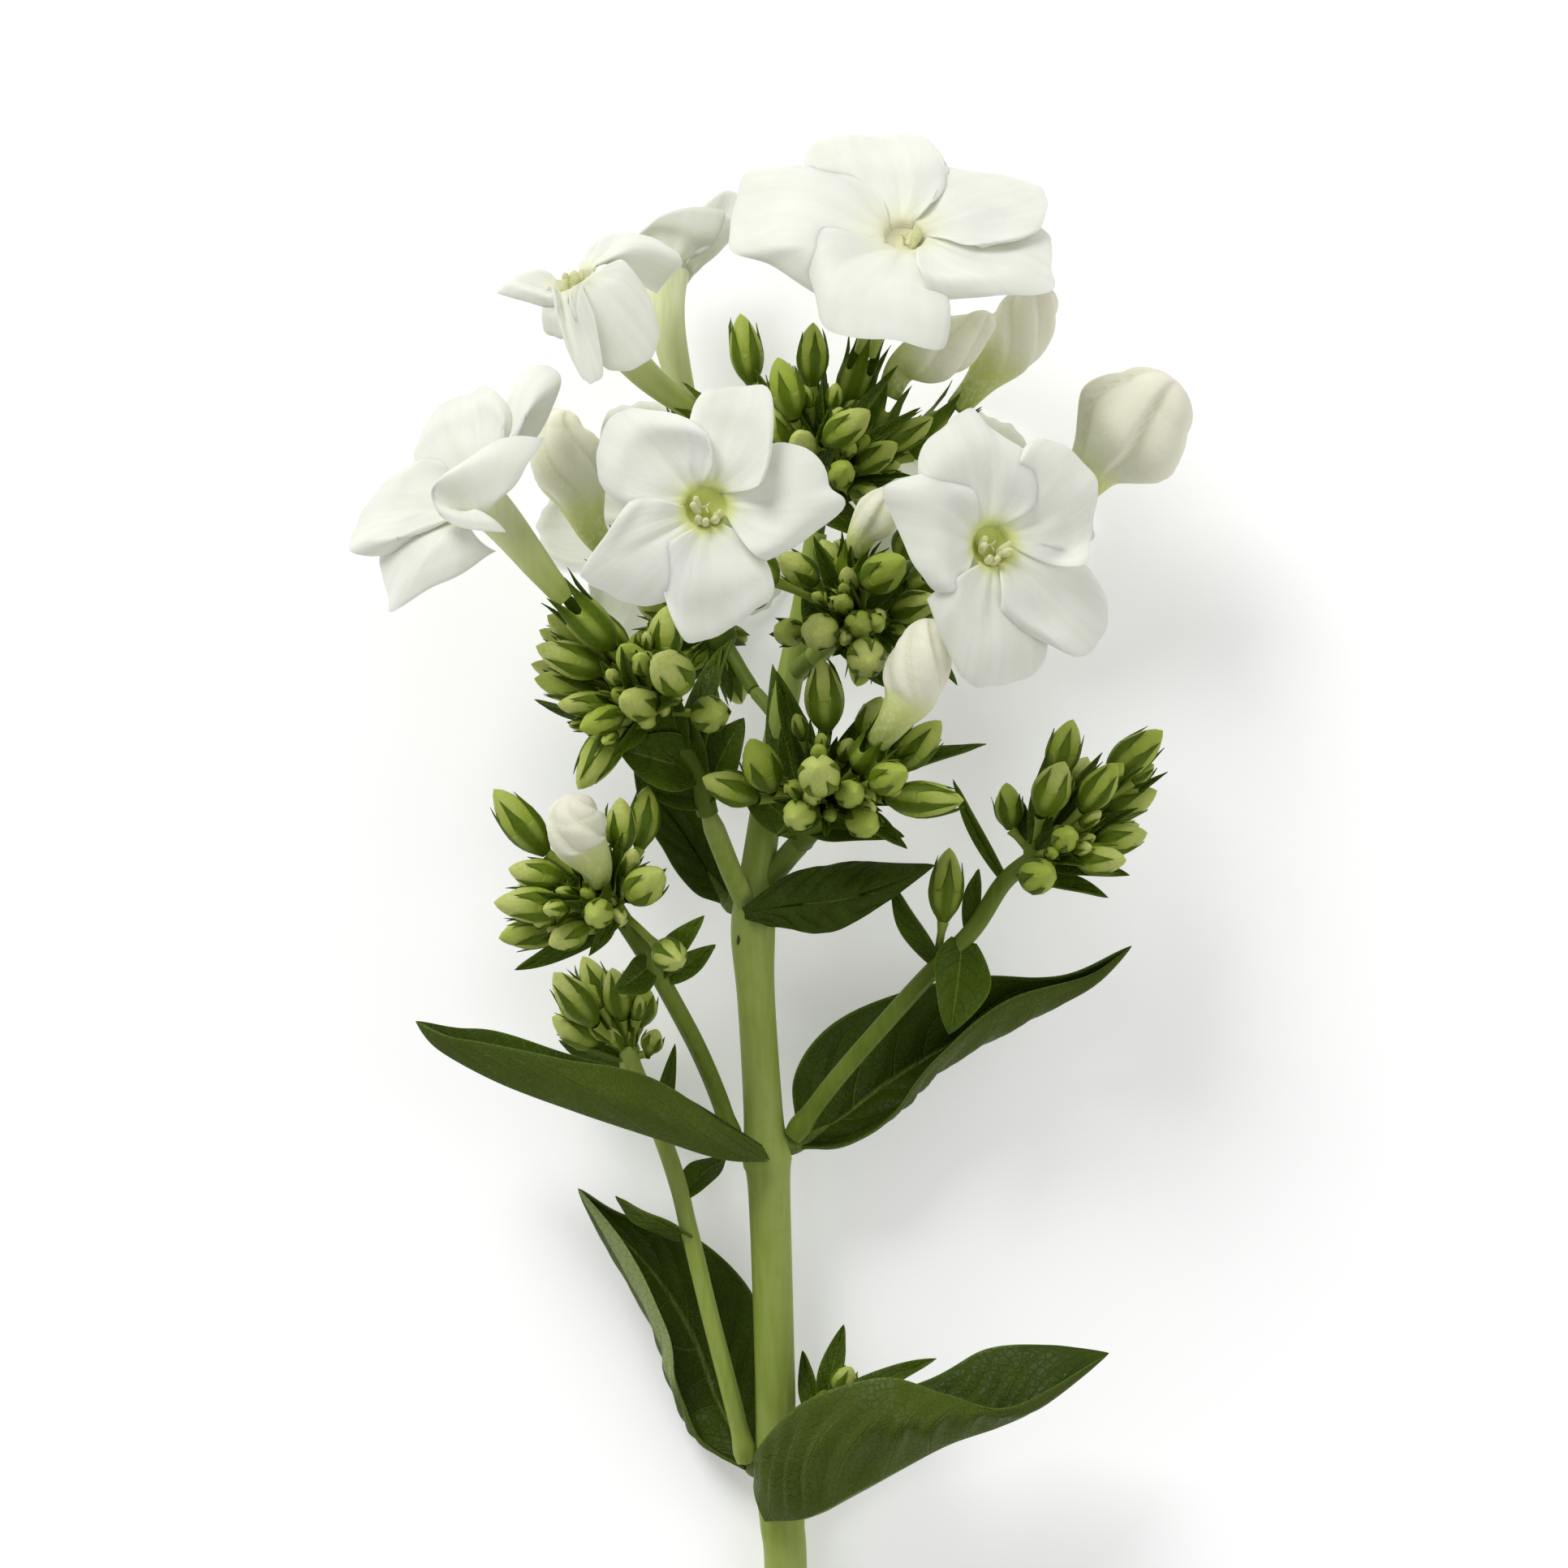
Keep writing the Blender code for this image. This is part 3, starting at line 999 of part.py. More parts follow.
# White buds about to open: calyx mouth first, then along the bud to its tip, with radii
OPENING_BUDS = {
    "bud_left": {
        "cyme": "cyme_back_left", "base": (-16.6, 120.6, -2.4),
        "path": [(-20.6, 124.8, -0.4), (-22.6, 128.6, 0.6), (-24.6, 132.6, 1.4), (-26.2, 136.6, 2.0),
                 (-26.6, 140.4, 2.2), (-25.8, 142.6, 2.2)],
        "radii": [1.4, 1.9, 3.2, 4.4, 3.2, 0.0], "twist": 70.0, "calyx": 3.1,
    },
    "bud_top": {
        "cyme": "cyme_top", "base": (10.6, 138.0, 1.2),
        "path": [(13.4, 144.4, 1.6), (15.4, 147.6, 2.4), (18.2, 149.4, 3.2), (21.4, 151.0, 4.0),
                 (24.4, 152.8, 4.4), (26.2, 154.6, 4.6)],
        "radii": [1.4, 1.9, 3.2, 3.6, 2.6, 0.0], "twist": 110.0, "calyx": 3.0,
    },
    "bud_top_right": {
        "cyme": "cyme_top", "base": (16.4, 137.0, -3.0),
        "path": [(21.8, 142.8, -3.4), (24.6, 146.4, -3.6), (27.4, 149.6, -3.8), (29.6, 152.6, -4.0),
                 (31.4, 155.6, -4.0), (32.4, 158.4, -4.0)],
        "radii": [1.4, 1.9, 3.4, 3.9, 3.0, 0.0], "twist": 110.0, "calyx": 3.0,
    },
    "bud_right": {
        "cyme": "cyme_back_right", "base": (24.6, 124.4, -5.4),
        "path": [(31.0, 128.4, -3.4), (35.0, 131.6, -2.4), (39.0, 135.4, -1.4), (43.6, 139.4, -0.6),
                 (47.4, 143.4, 0.0), (48.8, 146.6, 0.2)],
        "radii": [1.4, 2.3, 4.6, 6.0, 4.6, 0.0], "twist": 60.0, "calyx": 3.1,
    },
    "bud_front": {
        "cyme": "cyme_front", "base": (9.6, 98.4, 22.6),
        "path": [(12.6, 102.6, 24.6), (15.0, 105.0, 25.6), (17.0, 107.6, 26.4), (18.0, 111.0, 27.0),
                 (18.8, 114.4, 27.2), (18.4, 117.2, 27.0)],
        "radii": [1.4, 1.8, 3.1, 3.6, 2.6, 0.0], "twist": 110.0, "calyx": 2.9,
    },
    "bud_shoot_left": {
        "cyme": "shoot_left", "base": (-22.4, 83.0, 16.8),
        "path": [(-23.0, 85.8, 18.2), (-24.0, 88.8, 19.4), (-25.0, 91.6, 20.2), (-25.6, 93.8, 20.8),
                 (-25.4, 95.6, 21.0)],
        "radii": [1.4, 2.0, 3.3, 2.7, 0.0], "twist": 70.0, "calyx": 2.9,
    },
    "bud_middle": {
        "cyme": "cyme_middle", "base": (8.4, 121.8, 10.4),
        "path": [(9.4, 125.0, 12.2), (10.8, 127.6, 13.4), (12.6, 130.2, 14.6), (14.4, 132.8, 15.4)],
        "radii": [1.4, 1.9, 2.7, 0.0], "twist": 40.0, "calyx": 2.8,
    },
}


def cyme_shapes(name):
    """Every green part of one cyme or shoot, with the calyces of its flowers and opening buds."""
    cyme = CYMES[name]
    stalk = cyme["stalk"]
    wide = 1.35 if "shoot" not in name else 1.1
    hub = cyme["hub"]
    shapes = [knob(hub, HUB_RADIUS)]
    shapes.append(rod(stalk, [wide] * len(stalk), len(stalk) + 2))
    cups = [f for f in FLOWERS.values() if f["cyme"] == name]
    cups += [dict(o, mouth=o["path"][0]) for o in OPENING_BUDS.values() if o["cyme"] == name]
    fixed = [(cup["mouth"], cup["base"], cup["calyx"]) for cup in cups]
    shapes += [bud(hub, *row) for row in set_apart(cyme["buds"], fixed)]
    shapes += [bud(root, tip, base, radius) for root, tip, base, radius in SIDE_BUDS.get(name, [])]
    shapes += [bract(stalk, *row) for row in cyme["bracts"]]
    shapes += [calyx(hub, cup["base"], cup["mouth"], cup["calyx"]) for cup in cups]
    return shapes


def main():
    for old in list(bpy.data.objects):
        bpy.data.objects.remove(old)
    materials = {name: make_material(name) for name in MATERIALS}
    fuse("stem", stem_shapes(), materials["stem_green"], STEM_LINE[0][:3])
    for name, rails in LEAVES.items():
        shape = blade(rails, LEAF_ROWS, LEAF_COLUMNS, LEAF_THICK)
        make_object(name, shape, materials["leaf_green"], rails[len(rails) // 2][0])
    for name, cyme in CYMES.items():
        fuse(name, cyme_shapes(name), materials["calyx_green"], cyme["stalk"][0])
    for name, flower in FLOWERS.items():
        make_object(name, corolla(flower), materials["petal_white"], flower["mouth"])
    for name in SHOWN_STAMENS:
        flower = FLOWERS[name]
        fuse(name + "_stamens", stamens(flower), materials["anther_yellow"], flower["throat"])
    for name, opening in OPENING_BUDS.items():
        shape = flower_bud(opening["base"], opening["path"], opening["radii"], opening["twist"])
        make_object(name, shape, materials["bud_cream"], opening["path"][0])


main()
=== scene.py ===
"""The looks of a cut flowering stem of white garden phlox, lying on its back on a pale floor.

Every piece is laid out in the plant's own frame, in millimetres: x to the right, y up the stem,
z towards the viewer, as seen from VIEW_DISTANCE away. place() turns a seen place into the true one
and to_world() leans the plant back on the floor, so that each piece lies where its node does.
"""
import math
from collections import namedtuple

import bpy
import numpy as np
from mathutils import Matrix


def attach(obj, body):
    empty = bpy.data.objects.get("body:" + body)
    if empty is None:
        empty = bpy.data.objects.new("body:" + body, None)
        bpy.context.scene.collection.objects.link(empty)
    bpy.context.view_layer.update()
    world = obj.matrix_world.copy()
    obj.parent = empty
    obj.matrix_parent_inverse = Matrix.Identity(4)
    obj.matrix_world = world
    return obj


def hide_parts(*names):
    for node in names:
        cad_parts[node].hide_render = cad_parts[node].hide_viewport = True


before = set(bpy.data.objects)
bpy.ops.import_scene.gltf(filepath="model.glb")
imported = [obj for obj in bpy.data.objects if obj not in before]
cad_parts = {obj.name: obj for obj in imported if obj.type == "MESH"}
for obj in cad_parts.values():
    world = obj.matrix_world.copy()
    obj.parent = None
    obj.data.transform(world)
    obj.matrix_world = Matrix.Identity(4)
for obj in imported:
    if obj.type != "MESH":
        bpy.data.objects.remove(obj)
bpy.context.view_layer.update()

TURN = 2 * math.pi

# Layout of the whole plant, in millimetres and degrees. FLOOR_EASE is how softly points near the floor
# are lifted off it.
VIEW_DISTANCE = 800.0
VIEW_MIDDLE = (0.6, 96.6)
VIEW_HEIGHT = 193.2
LEAN = 8.0
FLOOR_DEPTH = 2.5
FLOOR_EASE = 0.25
STEM_END = -20.0
BOX_MIDDLE = (-0.5, 78.7)

# Blades
LEAF_THICK = 0.55
BRACT_THICK = 0.4
PETAL_THICK = 0.38
LEAF_ROWS = 88
LEAF_COLUMNS = 34
PETIOLE_REACH = 5.0
PETIOLE_MARKS = (0, 0.4, 0.7, 1.0)
PETIOLE_RADII = (1.7, 1.5, 0.95, 0.2)
# The leaf, by its number in LEAVES, whose margin is rolled over and shows its pale back
ROLLED_LEAF = 4.0

# Flowers
PETALS = 5
PETAL_STEP = 360.0 / PETALS
THROAT_RADIUS = 2.8
TUBE_RADII = (2.75, 2.45, 2.15, 1.9, 1.6, 1.4)
TUBE_SIDES = 40
FUNNEL_DEPTHS = (0.0, 0.25, 0.5, 0.75, 1.0, 1.2, 1.35)
FUNNEL_RADII = (2.72, 2.60, 2.40, 2.15, 1.85, 1.4, 0.8)
PETAL_NECK = 0.10
PETAL_ROWS = 34
PETAL_COLUMNS = 34
ANTHER_RADIUS = 0.5
# The seed of the petal with a faint purple streak, and where on the petal the streak lies
STREAK_PETAL = 0.26
STREAK_ACROSS = -0.2
STREAK_ALONG = 0.28

# Petals of the flowers at the back, which the photo doesn't show, in millimetres and degrees
BACK_LENGTH = 13.4
BACK_HALF_WIDTH = 6.6
BACK_RISE = 8.0
BACK_DROOP = 2.0
BACK_PINWHEEL = 11.0

# Buds and calyces
PEDICEL_RADIUS = 0.5
HUB_RADIUS = 2.5
FLOWER_CALYX = 3.1
CALYX_SIDES = 30
CALYX_ROWS = 9
OPENING_SIDES = 80
# Height and inset of the two rings inside a calyx's rim
CALYX_INSIDE = [(0.985, 0.10), (0.5, 0.22)]
# Heights along an open flower's calyx, and how much of its radius it has there
CALYX_MARKS = (0.0, 0.12, 0.3, 0.5, 0.75, 1.0, 1.4)
CALYX_SHAPE = (0.24, 0.52, 0.74, 0.80, 0.76, 0.72, 0.76)
# How buds are set apart in depth: rounds, the longest step, and the longest way in all
SPREAD_ROUNDS = 25
SPREAD_STEP = 0.5
SPREAD_LIMIT = 5.0

# Stalks of the bunches: radii, which are as pale as the stem (the others take the darker stalk material,
# partly their deeper green and partly painted shade), and how shoots join the stem
BRANCH_RADII = {"cyme_left": 1.32, "cyme_front": 1.4, "cyme_middle": 1.2}
BACK_BRANCH_RADIUS = 0.85
SHOOT_RADIUS = 1.1
PALE_STALKS = ("shoot_back_left", "cyme_middle")
JOINT_DEPTH = 1.8
JOINT_SWELL = 0.30

# Light and floor, in watts and metres
SKY_STRENGTH = 0.44
KEY_POWER = 9.2
FILL_POWER = 2.8
LIGHT_AIM = (0.0, 0.02, 0.02)
FLOOR_GLOW = 0.24
FLOOR_HALF = 3.0

# The main stem: places and radii
STEM_LINE = [
    (0.8, -20.0, 0, 2.65), (0.8, 0.0, 0, 2.65), (0.4, 5.5, 0, 2.75), (0.2, 9.5, 0, 3.0),
    (-0.3, 14.0, 0, 2.6), (-0.5, 23.2, 0, 2.5), (-1.2, 46.0, 0, 2.6), (-1.5, 50.5, 0, 3.0),
    (-1.9, 55.5, 0, 2.45), (-2.8, 70.0, 0, 2.35), (-3.2, 79.0, 0, 2.75), (-2.6, 86.0, 0, 2.1),
    (-1.0, 97.0, 0, 1.9), (1.0, 108.0, 0, 1.7), (3.0, 118.0, 0, 1.5), (4.6, 127.5, 0, 1.3),
]
# The stubs of the branches that carry the head
BRANCHES = {
    "cyme_left": [(-3.4, 80.5, 0.5), (-6.2, 86.5, 4.0), (-9.0, 93.8, 7.0)],
    "cyme_front": [(-2.0, 84.0, 0.0), (0.8, 87.4, 1.4), (3.0, 89.8, 4.6)],
    "cyme_middle": [(1.4, 110.0, 0.0), (4.5, 112.5, 3.5)],
    "cyme_back_left": [(0.4, 104.0, 0.0), (-3.4, 108.5, -4.0)],
    "cyme_back_right": [(1.4, 109.0, 0.0), (6.5, 113.5, -4.0)],
}
# A small dark scar on the stem, and the seed that its material knows it by
STEM_MARK = [(-5.15, 76.7, 1.85), (-4.95, 77.4, 2.0), (-5.0, 78.1, 2.0)]
MARK_SEED = 20.0

# Large leaves: which way the rails show the upper face, the number of side veins, how far the blade
# bulges between them, the tip, and rails from the base to the tip. A rail holds place after place; the
# first and last rails are the margins, the middle one is the midrib.
LEAVES = {
    "leaf_middle_left": (1, 9, 0.16, (-44.8, 67.4, 12.0), [
        (-2.0, 51.8, 4.0, -8.0, 55.6, 8.5, -16.2, 60.6, 10.3, -26.0, 62.6, 14.0, -35.5, 64.6, 13.4,
         -41.0, 65.6, 13.4),
        (-1.8, 51.1, 3.9, -7.6, 53.0, 9.5, -16.0, 56.6, 13.0, -25.5, 59.6, 14.2, -35.0, 62.2, 13.0,
         -41.3, 64.9, 12.9),
        (-1.4, 50.4, 4.2, -7.2, 50.9, 8.0, -16.0, 53.7, 10.5, -25.0, 56.7, 11.8, -34.2, 60.2, 12.0,
         -41.6, 64.2, 12.0),
        (-1.8, 51.2, 3.9, -7.6, 53.4, 6.2, -16.0, 57.0, 7.6, -25.5, 60.0, 8.8, -35.0, 63.2, 10.0,
         -40.6, 65.2, 10.6),
        (-2.2, 52.2, 3.8, -8.0, 55.8, 4.6, -16.0, 60.4, 5.6, -26.0, 63.4, 7.0, -35.2, 66.2, 8.2,
         -39.8, 66.6, 9.2)]),
    "leaf_middle_right": (1, 9, 0.42, (43.5, 76.7, 1.0), [
        (2.4, 53.2, -0.6, 1.8, 60.0, -2.4, 5.6, 66.4, -4.0, 14.0, 70.6, -4.6, 24.5, 72.9, -3.4,
         35.0, 73.0, -1.0),
        (2.4, 52.8, -0.8, 4.6, 57.4, -3.6, 9.0, 62.4, -6.0, 17.0, 67.0, -6.4, 27.0, 70.2, -4.6,
         36.0, 72.4, -1.6),
        (2.6, 52.4, -0.8, 7.6, 55.4, -4.2, 13.0, 59.6, -6.8, 20.5, 64.2, -7.2, 29.0, 68.4, -5.2,
         37.0, 72.0, -1.8),
        (2.6, 52.0, -0.4, 8.6, 53.2, -1.8, 15.4, 57.0, -4.0, 21.0, 62.0, -4.0, 32.0, 68.2, -2.0,
         38.6, 71.8, 0.0),
        (2.8, 51.8, 0.2, 8.6, 52.2, 0.6, 14.6, 56.4, -0.6, 19.6, 63.2, 0.4, 28.0, 70.0, 0.8,
         38.0, 73.0, 1.0)]),
    "leaf_upper_right": (1, 7, 0.35, (19.2, 86.6, 7.2), [
        (-4.6, 81.4, 3.9, 2.0, 85.7, 4.2, 8.5, 87.0, 4.8, 14.0, 86.8, 6.0),
        (-4.4, 81.0, 3.9, 2.0, 84.2, 5.4, 8.5, 85.2, 6.4, 14.0, 85.8, 7.0),
        (-4.2, 80.7, 4.0, 1.6, 81.6, 6.2, 8.0, 82.4, 7.6, 13.6, 84.2, 7.8),
        (-4.2, 80.3, 3.9, 1.2, 80.2, 5.2, 7.0, 80.0, 6.6, 13.0, 82.8, 7.4),
        (-4.2, 80.0, 3.8, 0.4, 78.9, 4.0, 5.8, 78.2, 5.4, 12.0, 81.2, 7.0)]),
    "leaf_upper_left": (1, 6, 0.22, (-18.0, 100.2, 0.0), [
        (-6.4, 81.6, -2.2, -11.0, 83.7, -3.2, -14.8, 89.2, -3.0, -17.3, 94.7, -1.6),
        (-6.2, 82.0, -2.4, -8.8, 85.8, -4.6, -12.0, 90.8, -4.8, -15.6, 95.6, -2.6),
        (-6.0, 82.4, -2.4, -6.4, 87.4, -4.0, -9.0, 92.4, -4.4, -13.4, 96.4, -2.4)]),
    "leaf_lower_left": (-1, 9, 0.32, (-24.8, 46.8, -2.0), [
        (-3.1, 13.4, -2.3, -1.8, 22.0, -5.2, -3.2, 33.5, -6.4, -11.0, 41.2, -6.4, -19.5, 43.7, -4.8),
        (-3.2, 13.0, -2.5, -4.4, 21.5, -6.2, -7.0, 31.0, -7.6, -13.2, 38.4, -7.6, -20.4, 43.0, -5.4),
        (-3.4, 12.6, -2.6, -7.6, 20.6, -6.4, -10.6, 28.6, -7.8, -15.2, 36.0, -7.6, -21.0, 42.4, -5.2),
        (-3.8, 12.3, -2.2, -10.2, 16.4, -5.0, -13.4, 23.0, -6.2, -16.0, 30.4, -5.6, -21.4, 40.0, -3.0),
        (-4.3, 12.3, -1.8, -9.6, 15.6, -2.6, -12.4, 22.4, -2.8, -14.0, 29.6, -1.6, -18.8, 39.6, -0.2)]),
    "leaf_lower_right": (-1, 11, 0.95, (40.7, 26.5, 11.0), [
        (-3.0, 10.4, 4.4, -2.4, 15.0, 8.0, 3.6, 20.8, 13.2, 12.6, 23.5, 16.4, 21.0, 21.3, 16.6,
         28.7, 19.9, 16.2),
        (-2.6, 8.2, 5.4, 0.0, 11.0, 10.4, 6.6, 15.2, 16.4, 15.3, 17.3, 20.4, 23.8, 18.8, 17.6,
         30.9, 19.4, 14.8),
        (-1.6, 6.2, 5.0, 3.7, 6.7, 9.2, 10.5, 10.2, 12.7, 20.4, 15.5, 15.2, 27.0, 17.9, 13.0,
         32.4, 20.6, 13.2),
        (-0.2, 7.8, 4.0, 4.0, 11.3, 6.3, 10.4, 15.0, 8.4, 19.8, 19.6, 9.6, 27.4, 21.6, 10.4,
         33.2, 25.0, 11.2),
        (0.6, 9.8, 3.9, 4.4, 15.2, 4.8, 10.9, 20.4, 5.4, 19.0, 23.4, 6.6, 25.4, 27.0, 7.6,
         33.4, 27.5, 9.4)]),
}
# Bunches of the head and leafy side shoots: the stalk, which ends in the hub; the buds, each by its
# tip, its base and its radius; and the leaflets, each by its base, tip, width and turn in degrees
CYMES = {
    "cyme_top": (
        [(4.8, 128.0, 0.0), (5.3, 131.2, 0.7), (5.5, 134.0, 1.5)],
        [(-4.8, 154.6, 1.0, -3.4, 145.8, 1.0, 2.3), (4.2, 153.5, 2.0, 4.0, 145.6, 2.0, 2.2),
         (-0.2, 149.2, 8.5, 1.9, 141.6, 7.0, 2.4), (11.2, 142.6, 14.0, 5.6, 138.6, 10.0, 2.3),
         (-1.4, 143.6, 3.6, 1.4, 137.6, 3.0, 2.1), (14.6, 138.6, 9.5, 9.4, 135.4, 7.5, 2.0),
         (8.2, 135.6, 15.0, 7.2, 134.2, 8.0, 1.8), (2.4, 139.8, 13.5, 3.4, 137.0, 7.5, 1.9),
         (19.0, 141.8, 3.0, 12.6, 137.6, 2.6, 2.0), (9.6, 148.6, -4.0, 8.4, 141.6, -2.6, 2.1),
         (0.2, 148.8, -6.0, 2.2, 142.2, -4.2, 2.1), (12.8, 131.6, 10.0, 9.0, 132.6, 6.0, 1.7)],
        [(6.4, 136.0, 1.0, 14.6, 148.2, 6.2, 2.6, 40), (7.6, 134.6, 2.4, 17.4, 143.0, 7.4, 2.4, 20),
         (3.6, 135.4, 0.5, -5.4, 139.6, 3.0, 2.6, 10), (5.2, 130.0, 0.6, -3.6, 138.0, 2.0, 4.4, 10),
         (5.4, 131.6, 0.8, 14.6, 134.6, 2.0, 4.4, 20), (5.4, 131.0, 0.8, 10.6, 127.0, 5.0, 4.0, 0)]),
    "cyme_middle": (
        [(4.9, 112.8, 3.9), (7.6, 114.8, 5.6), (10.0, 116.5, 6.5)],
        [(15.4, 124.3, 19.0, 10.6, 121.2, 13.0, 2.7), (19.6, 119.4, 15.0, 14.0, 117.6, 11.0, 2.3),
         (0.0, 124.9, 11.5, 4.6, 121.4, 8.5, 2.2), (-0.2, 115.4, 20.0, 2.4, 115.2, 13.6, 1.9),
         (4.3, 115.3, 25.0, 5.6, 115.4, 16.8, 2.5), (10.0, 116.0, 24.0, 9.8, 116.2, 16.6, 1.9),
         (11.2, 111.6, 26.0, 10.4, 112.6, 17.6, 2.6), (5.2, 126.8, 7.0, 7.2, 121.8, 6.6, 1.9),
         (14.0, 110.6, 13.0, 12.2, 113.4, 9.2, 1.8)],
        [(8.6, 118.0, 8.0, 4.2, 127.2, 13.0, 2.8, 15), (7.0, 114.2, 5.0, 3.4, 122.6, 6.0, 4.6, 10),
         (8.0, 115.0, 5.6, 19.0, 113.4, 9.0, 4.6, 20), (8.6, 115.4, 6.0, 16.6, 122.4, 8.0, 4.6, -20),
         (7.4, 114.6, 5.0, 13.0, 108.6, 7.0, 4.4, 20)]),
    "cyme_front": (
        [(3.2, 90.1, 5.1), (4.6, 92.0, 9.0), (5.6, 94.4, 13.0)],
        [(5.3, 112.0, 20.0, 5.8, 103.0, 19.0, 2.6), (12.6, 107.4, 17.4, 10.6, 101.6, 16.0, 2.2),
         (-3.6, 102.2, 22.0, -0.8, 95.8, 19.0, 2.5), (4.6, 98.6, 35.0, 5.2, 96.8, 26.0, 2.8),
         (-9.5, 97.4, 17.0, -2.6, 94.8, 16.4, 2.3), (1.8, 92.4, 30.0, 3.0, 93.2, 21.6, 2.1),
         (9.4, 95.6, 31.0, 8.2, 95.2, 23.0, 1.9), (11.4, 91.2, 29.0, 9.4, 92.6, 21.4, 2.2),
         (22.8, 94.6, 24.0, 13.2, 94.8, 20.8, 2.5), (20.0, 104.4, 18.0, 14.4, 98.4, 17.0, 2.4),
         (15.6, 98.2, 27.0, 11.6, 96.6, 21.0, 2.1)],
        [(7.0, 93.6, 14.0, 15.8, 88.7, 18.0, 3.6, 30), (8.0, 95.6, 13.6, 25.5, 101.6, 15.0, 3.6, 40),
         (4.4, 93.4, 13.6, -0.4, 90.2, 19.0, 3.0, 20), (3.4, 96.0, 12.8, -0.4, 110.6, 10.0, 3.6, 0),
         (3.4, 90.6, 5.0, -0.8, 111.4, -2.0, 4.6, 20), (3.2, 91.0, 5.4, -5.6, 98.4, 6.0, 4.8, 10),
         (3.6, 91.6, 7.0, 15.4, 90.2, 13.0, 5.0, 20), (3.4, 92.0, 7.0, 9.6, 103.6, 8.0, 4.8, -20),
         (3.2, 91.2, 6.0, 0.4, 104.0, 6.0, 4.4, 0)]),
    "cyme_left": (
        [(-9.1, 94.2, 7.2), (-9.8, 98.0, 8.2), (-12.6, 101.8, 9.0), (-16.0, 105.4, 9.5)],
        [(-28.6, 117.4, 8.0, -21.6, 112.8, 8.4, 2.2), (-30.0, 113.6, 12.4, -21.4, 110.4, 11.4, 2.3),
         (-30.2, 109.6, 8.4, -21.4, 107.6, 8.8, 2.4), (-27.4, 118.4, 2.6, -20.6, 113.2, 4.4, 2.1),
         (-24.8, 95.9, 15.0, -19.4, 104.2, 13.4, 2.6), (-14.9, 112.2, 27.0, -11.8, 108.6, 19.6, 2.8),
         (-19.4, 107.2, 23.4, -15.4, 105.8, 16.4, 2.2), (-19.4, 113.6, 20.0, -16.8, 110.0, 14.0, 2.1),
         (-7.2, 105.2, 23.0, -9.6, 105.2, 15.6, 2.5), (-13.8, 118.6, 14.0, -14.4, 111.4, 12.0, 2.4),
         (-24.6, 103.4, 17.4, -19.2, 105.4, 13.6, 1.9), (-29.6, 115.6, 4.6, -22.0, 111.8, 5.8, 1.9),
         (-30.6, 111.4, 4.0, -22.4, 109.2, 5.2, 1.9), (-27.4, 106.4, 11.4, -20.4, 106.4, 11.0, 1.8),
         (-23.4, 118.2, 12.0, -18.6, 112.4, 10.4, 1.8)],
        [(-17.6, 105.2, 8.2, -30.2, 107.0, 3.6, 3.4, 50), (-14.8, 103.6, 7.6, -26.2, 104.2, 5.0, 3.4, 20),
         (-10.6, 101.6, 7.4, -5.6, 114.6, 4.0, 3.6, 30), (-8.8, 95.0, 6.0, -19.6, 104.4, 6.0, 6.0, 20),
         (-8.7, 94.0, 5.0, -18.0, 99.0, 4.0, 5.0, -10), (-9.6, 99.0, 8.0, -7.0, 113.6, 5.0, 4.2, 30),
         (-9.0, 97.0, 7.0, -13.6, 108.6, 11.0, 4.6, 10), (-9.4, 98.0, 8.0, -20.6, 109.0, 8.0, 4.6, -30),
         (-8.8, 95.0, 6.0, -4.4, 104.8, 6.0, 6.2, 15), (-9.8, 98.0, 8.4, -20.0, 101.0, 11.4, 7.2, -15),
         (-12.0, 101.0, 9.0, -13.6, 110.6, 15.0, 4.2, 20),
         (-14.0, 103.0, 9.0, -28.4, 112.0, 6.0, 4.2, -20)]),
    "cyme_back_left": (
        [(-3.7, 109.1, -4.3), (-5.6, 112.2, -6.6), (-7.4, 115.4, -8.0)],
        [(-16.4, 108.6, -13.0, -11.4, 112.4, -10.8, 2.2), (-19.4, 113.2, -7.6, -12.8, 114.6, -7.8, 2.3),
         (-4.8, 106.4, -14.8, -6.2, 111.4, -11.6, 2.1), (-17.8, 119.6, -3.0, -12.4, 117.4, -4.6, 2.2),
         (-1.6, 122.2, -13.6, -4.4, 118.4, -10.8, 2.2), (-9.8, 103.2, -8.6, -8.8, 109.6, -8.4, 2.1)],
        [(-8.4, 114.4, -9.0, -18.0, 105.4, -9.0, 3.2, 30)]),
    "cyme_back_right": (
        [(6.9, 114.1, -4.3), (9.6, 116.6, -6.6), (12.4, 119.0, -8.0)],
        [(19.4, 111.6, -12.4, 15.6, 115.4, -10.6, 2.2), (22.6, 115.8, -5.0, 16.8, 117.4, -6.4, 2.3),
         (9.6, 108.6, -13.0, 11.0, 113.8, -10.8, 2.1), (6.8, 126.6, -12.8, 9.4, 122.6, -10.6, 2.2),
         (17.2, 129.4, -4.4, 14.8, 124.2, -6.0, 2.2), (16.6, 106.4, -5.6, 14.2, 112.6, -6.8, 2.1)],
        [(13.2, 118.0, -9.0, 22.0, 108.8, -8.0, 3.2, 30)]),
    "shoot_left": (
        [(-6.1, 53.8, 0.8), (-7.4, 58.0, 1.8), (-10.2, 64.4, 6.4), (-13.6, 70.8, 10.8), (-16.6, 75.8, 12.8),
         (-20.4, 81.6, 14.0)],
        [(-35.2, 96.0, 13.0, -28.6, 88.0, 13.4, 2.4), (-19.6, 95.0, 16.0, -19.4, 88.0, 15.4, 2.2),
         (-16.2, 96.4, 10.0, -17.2, 88.6, 11.4, 2.2), (-14.4, 85.8, 25.0, -18.4, 82.6, 19.6, 2.5),
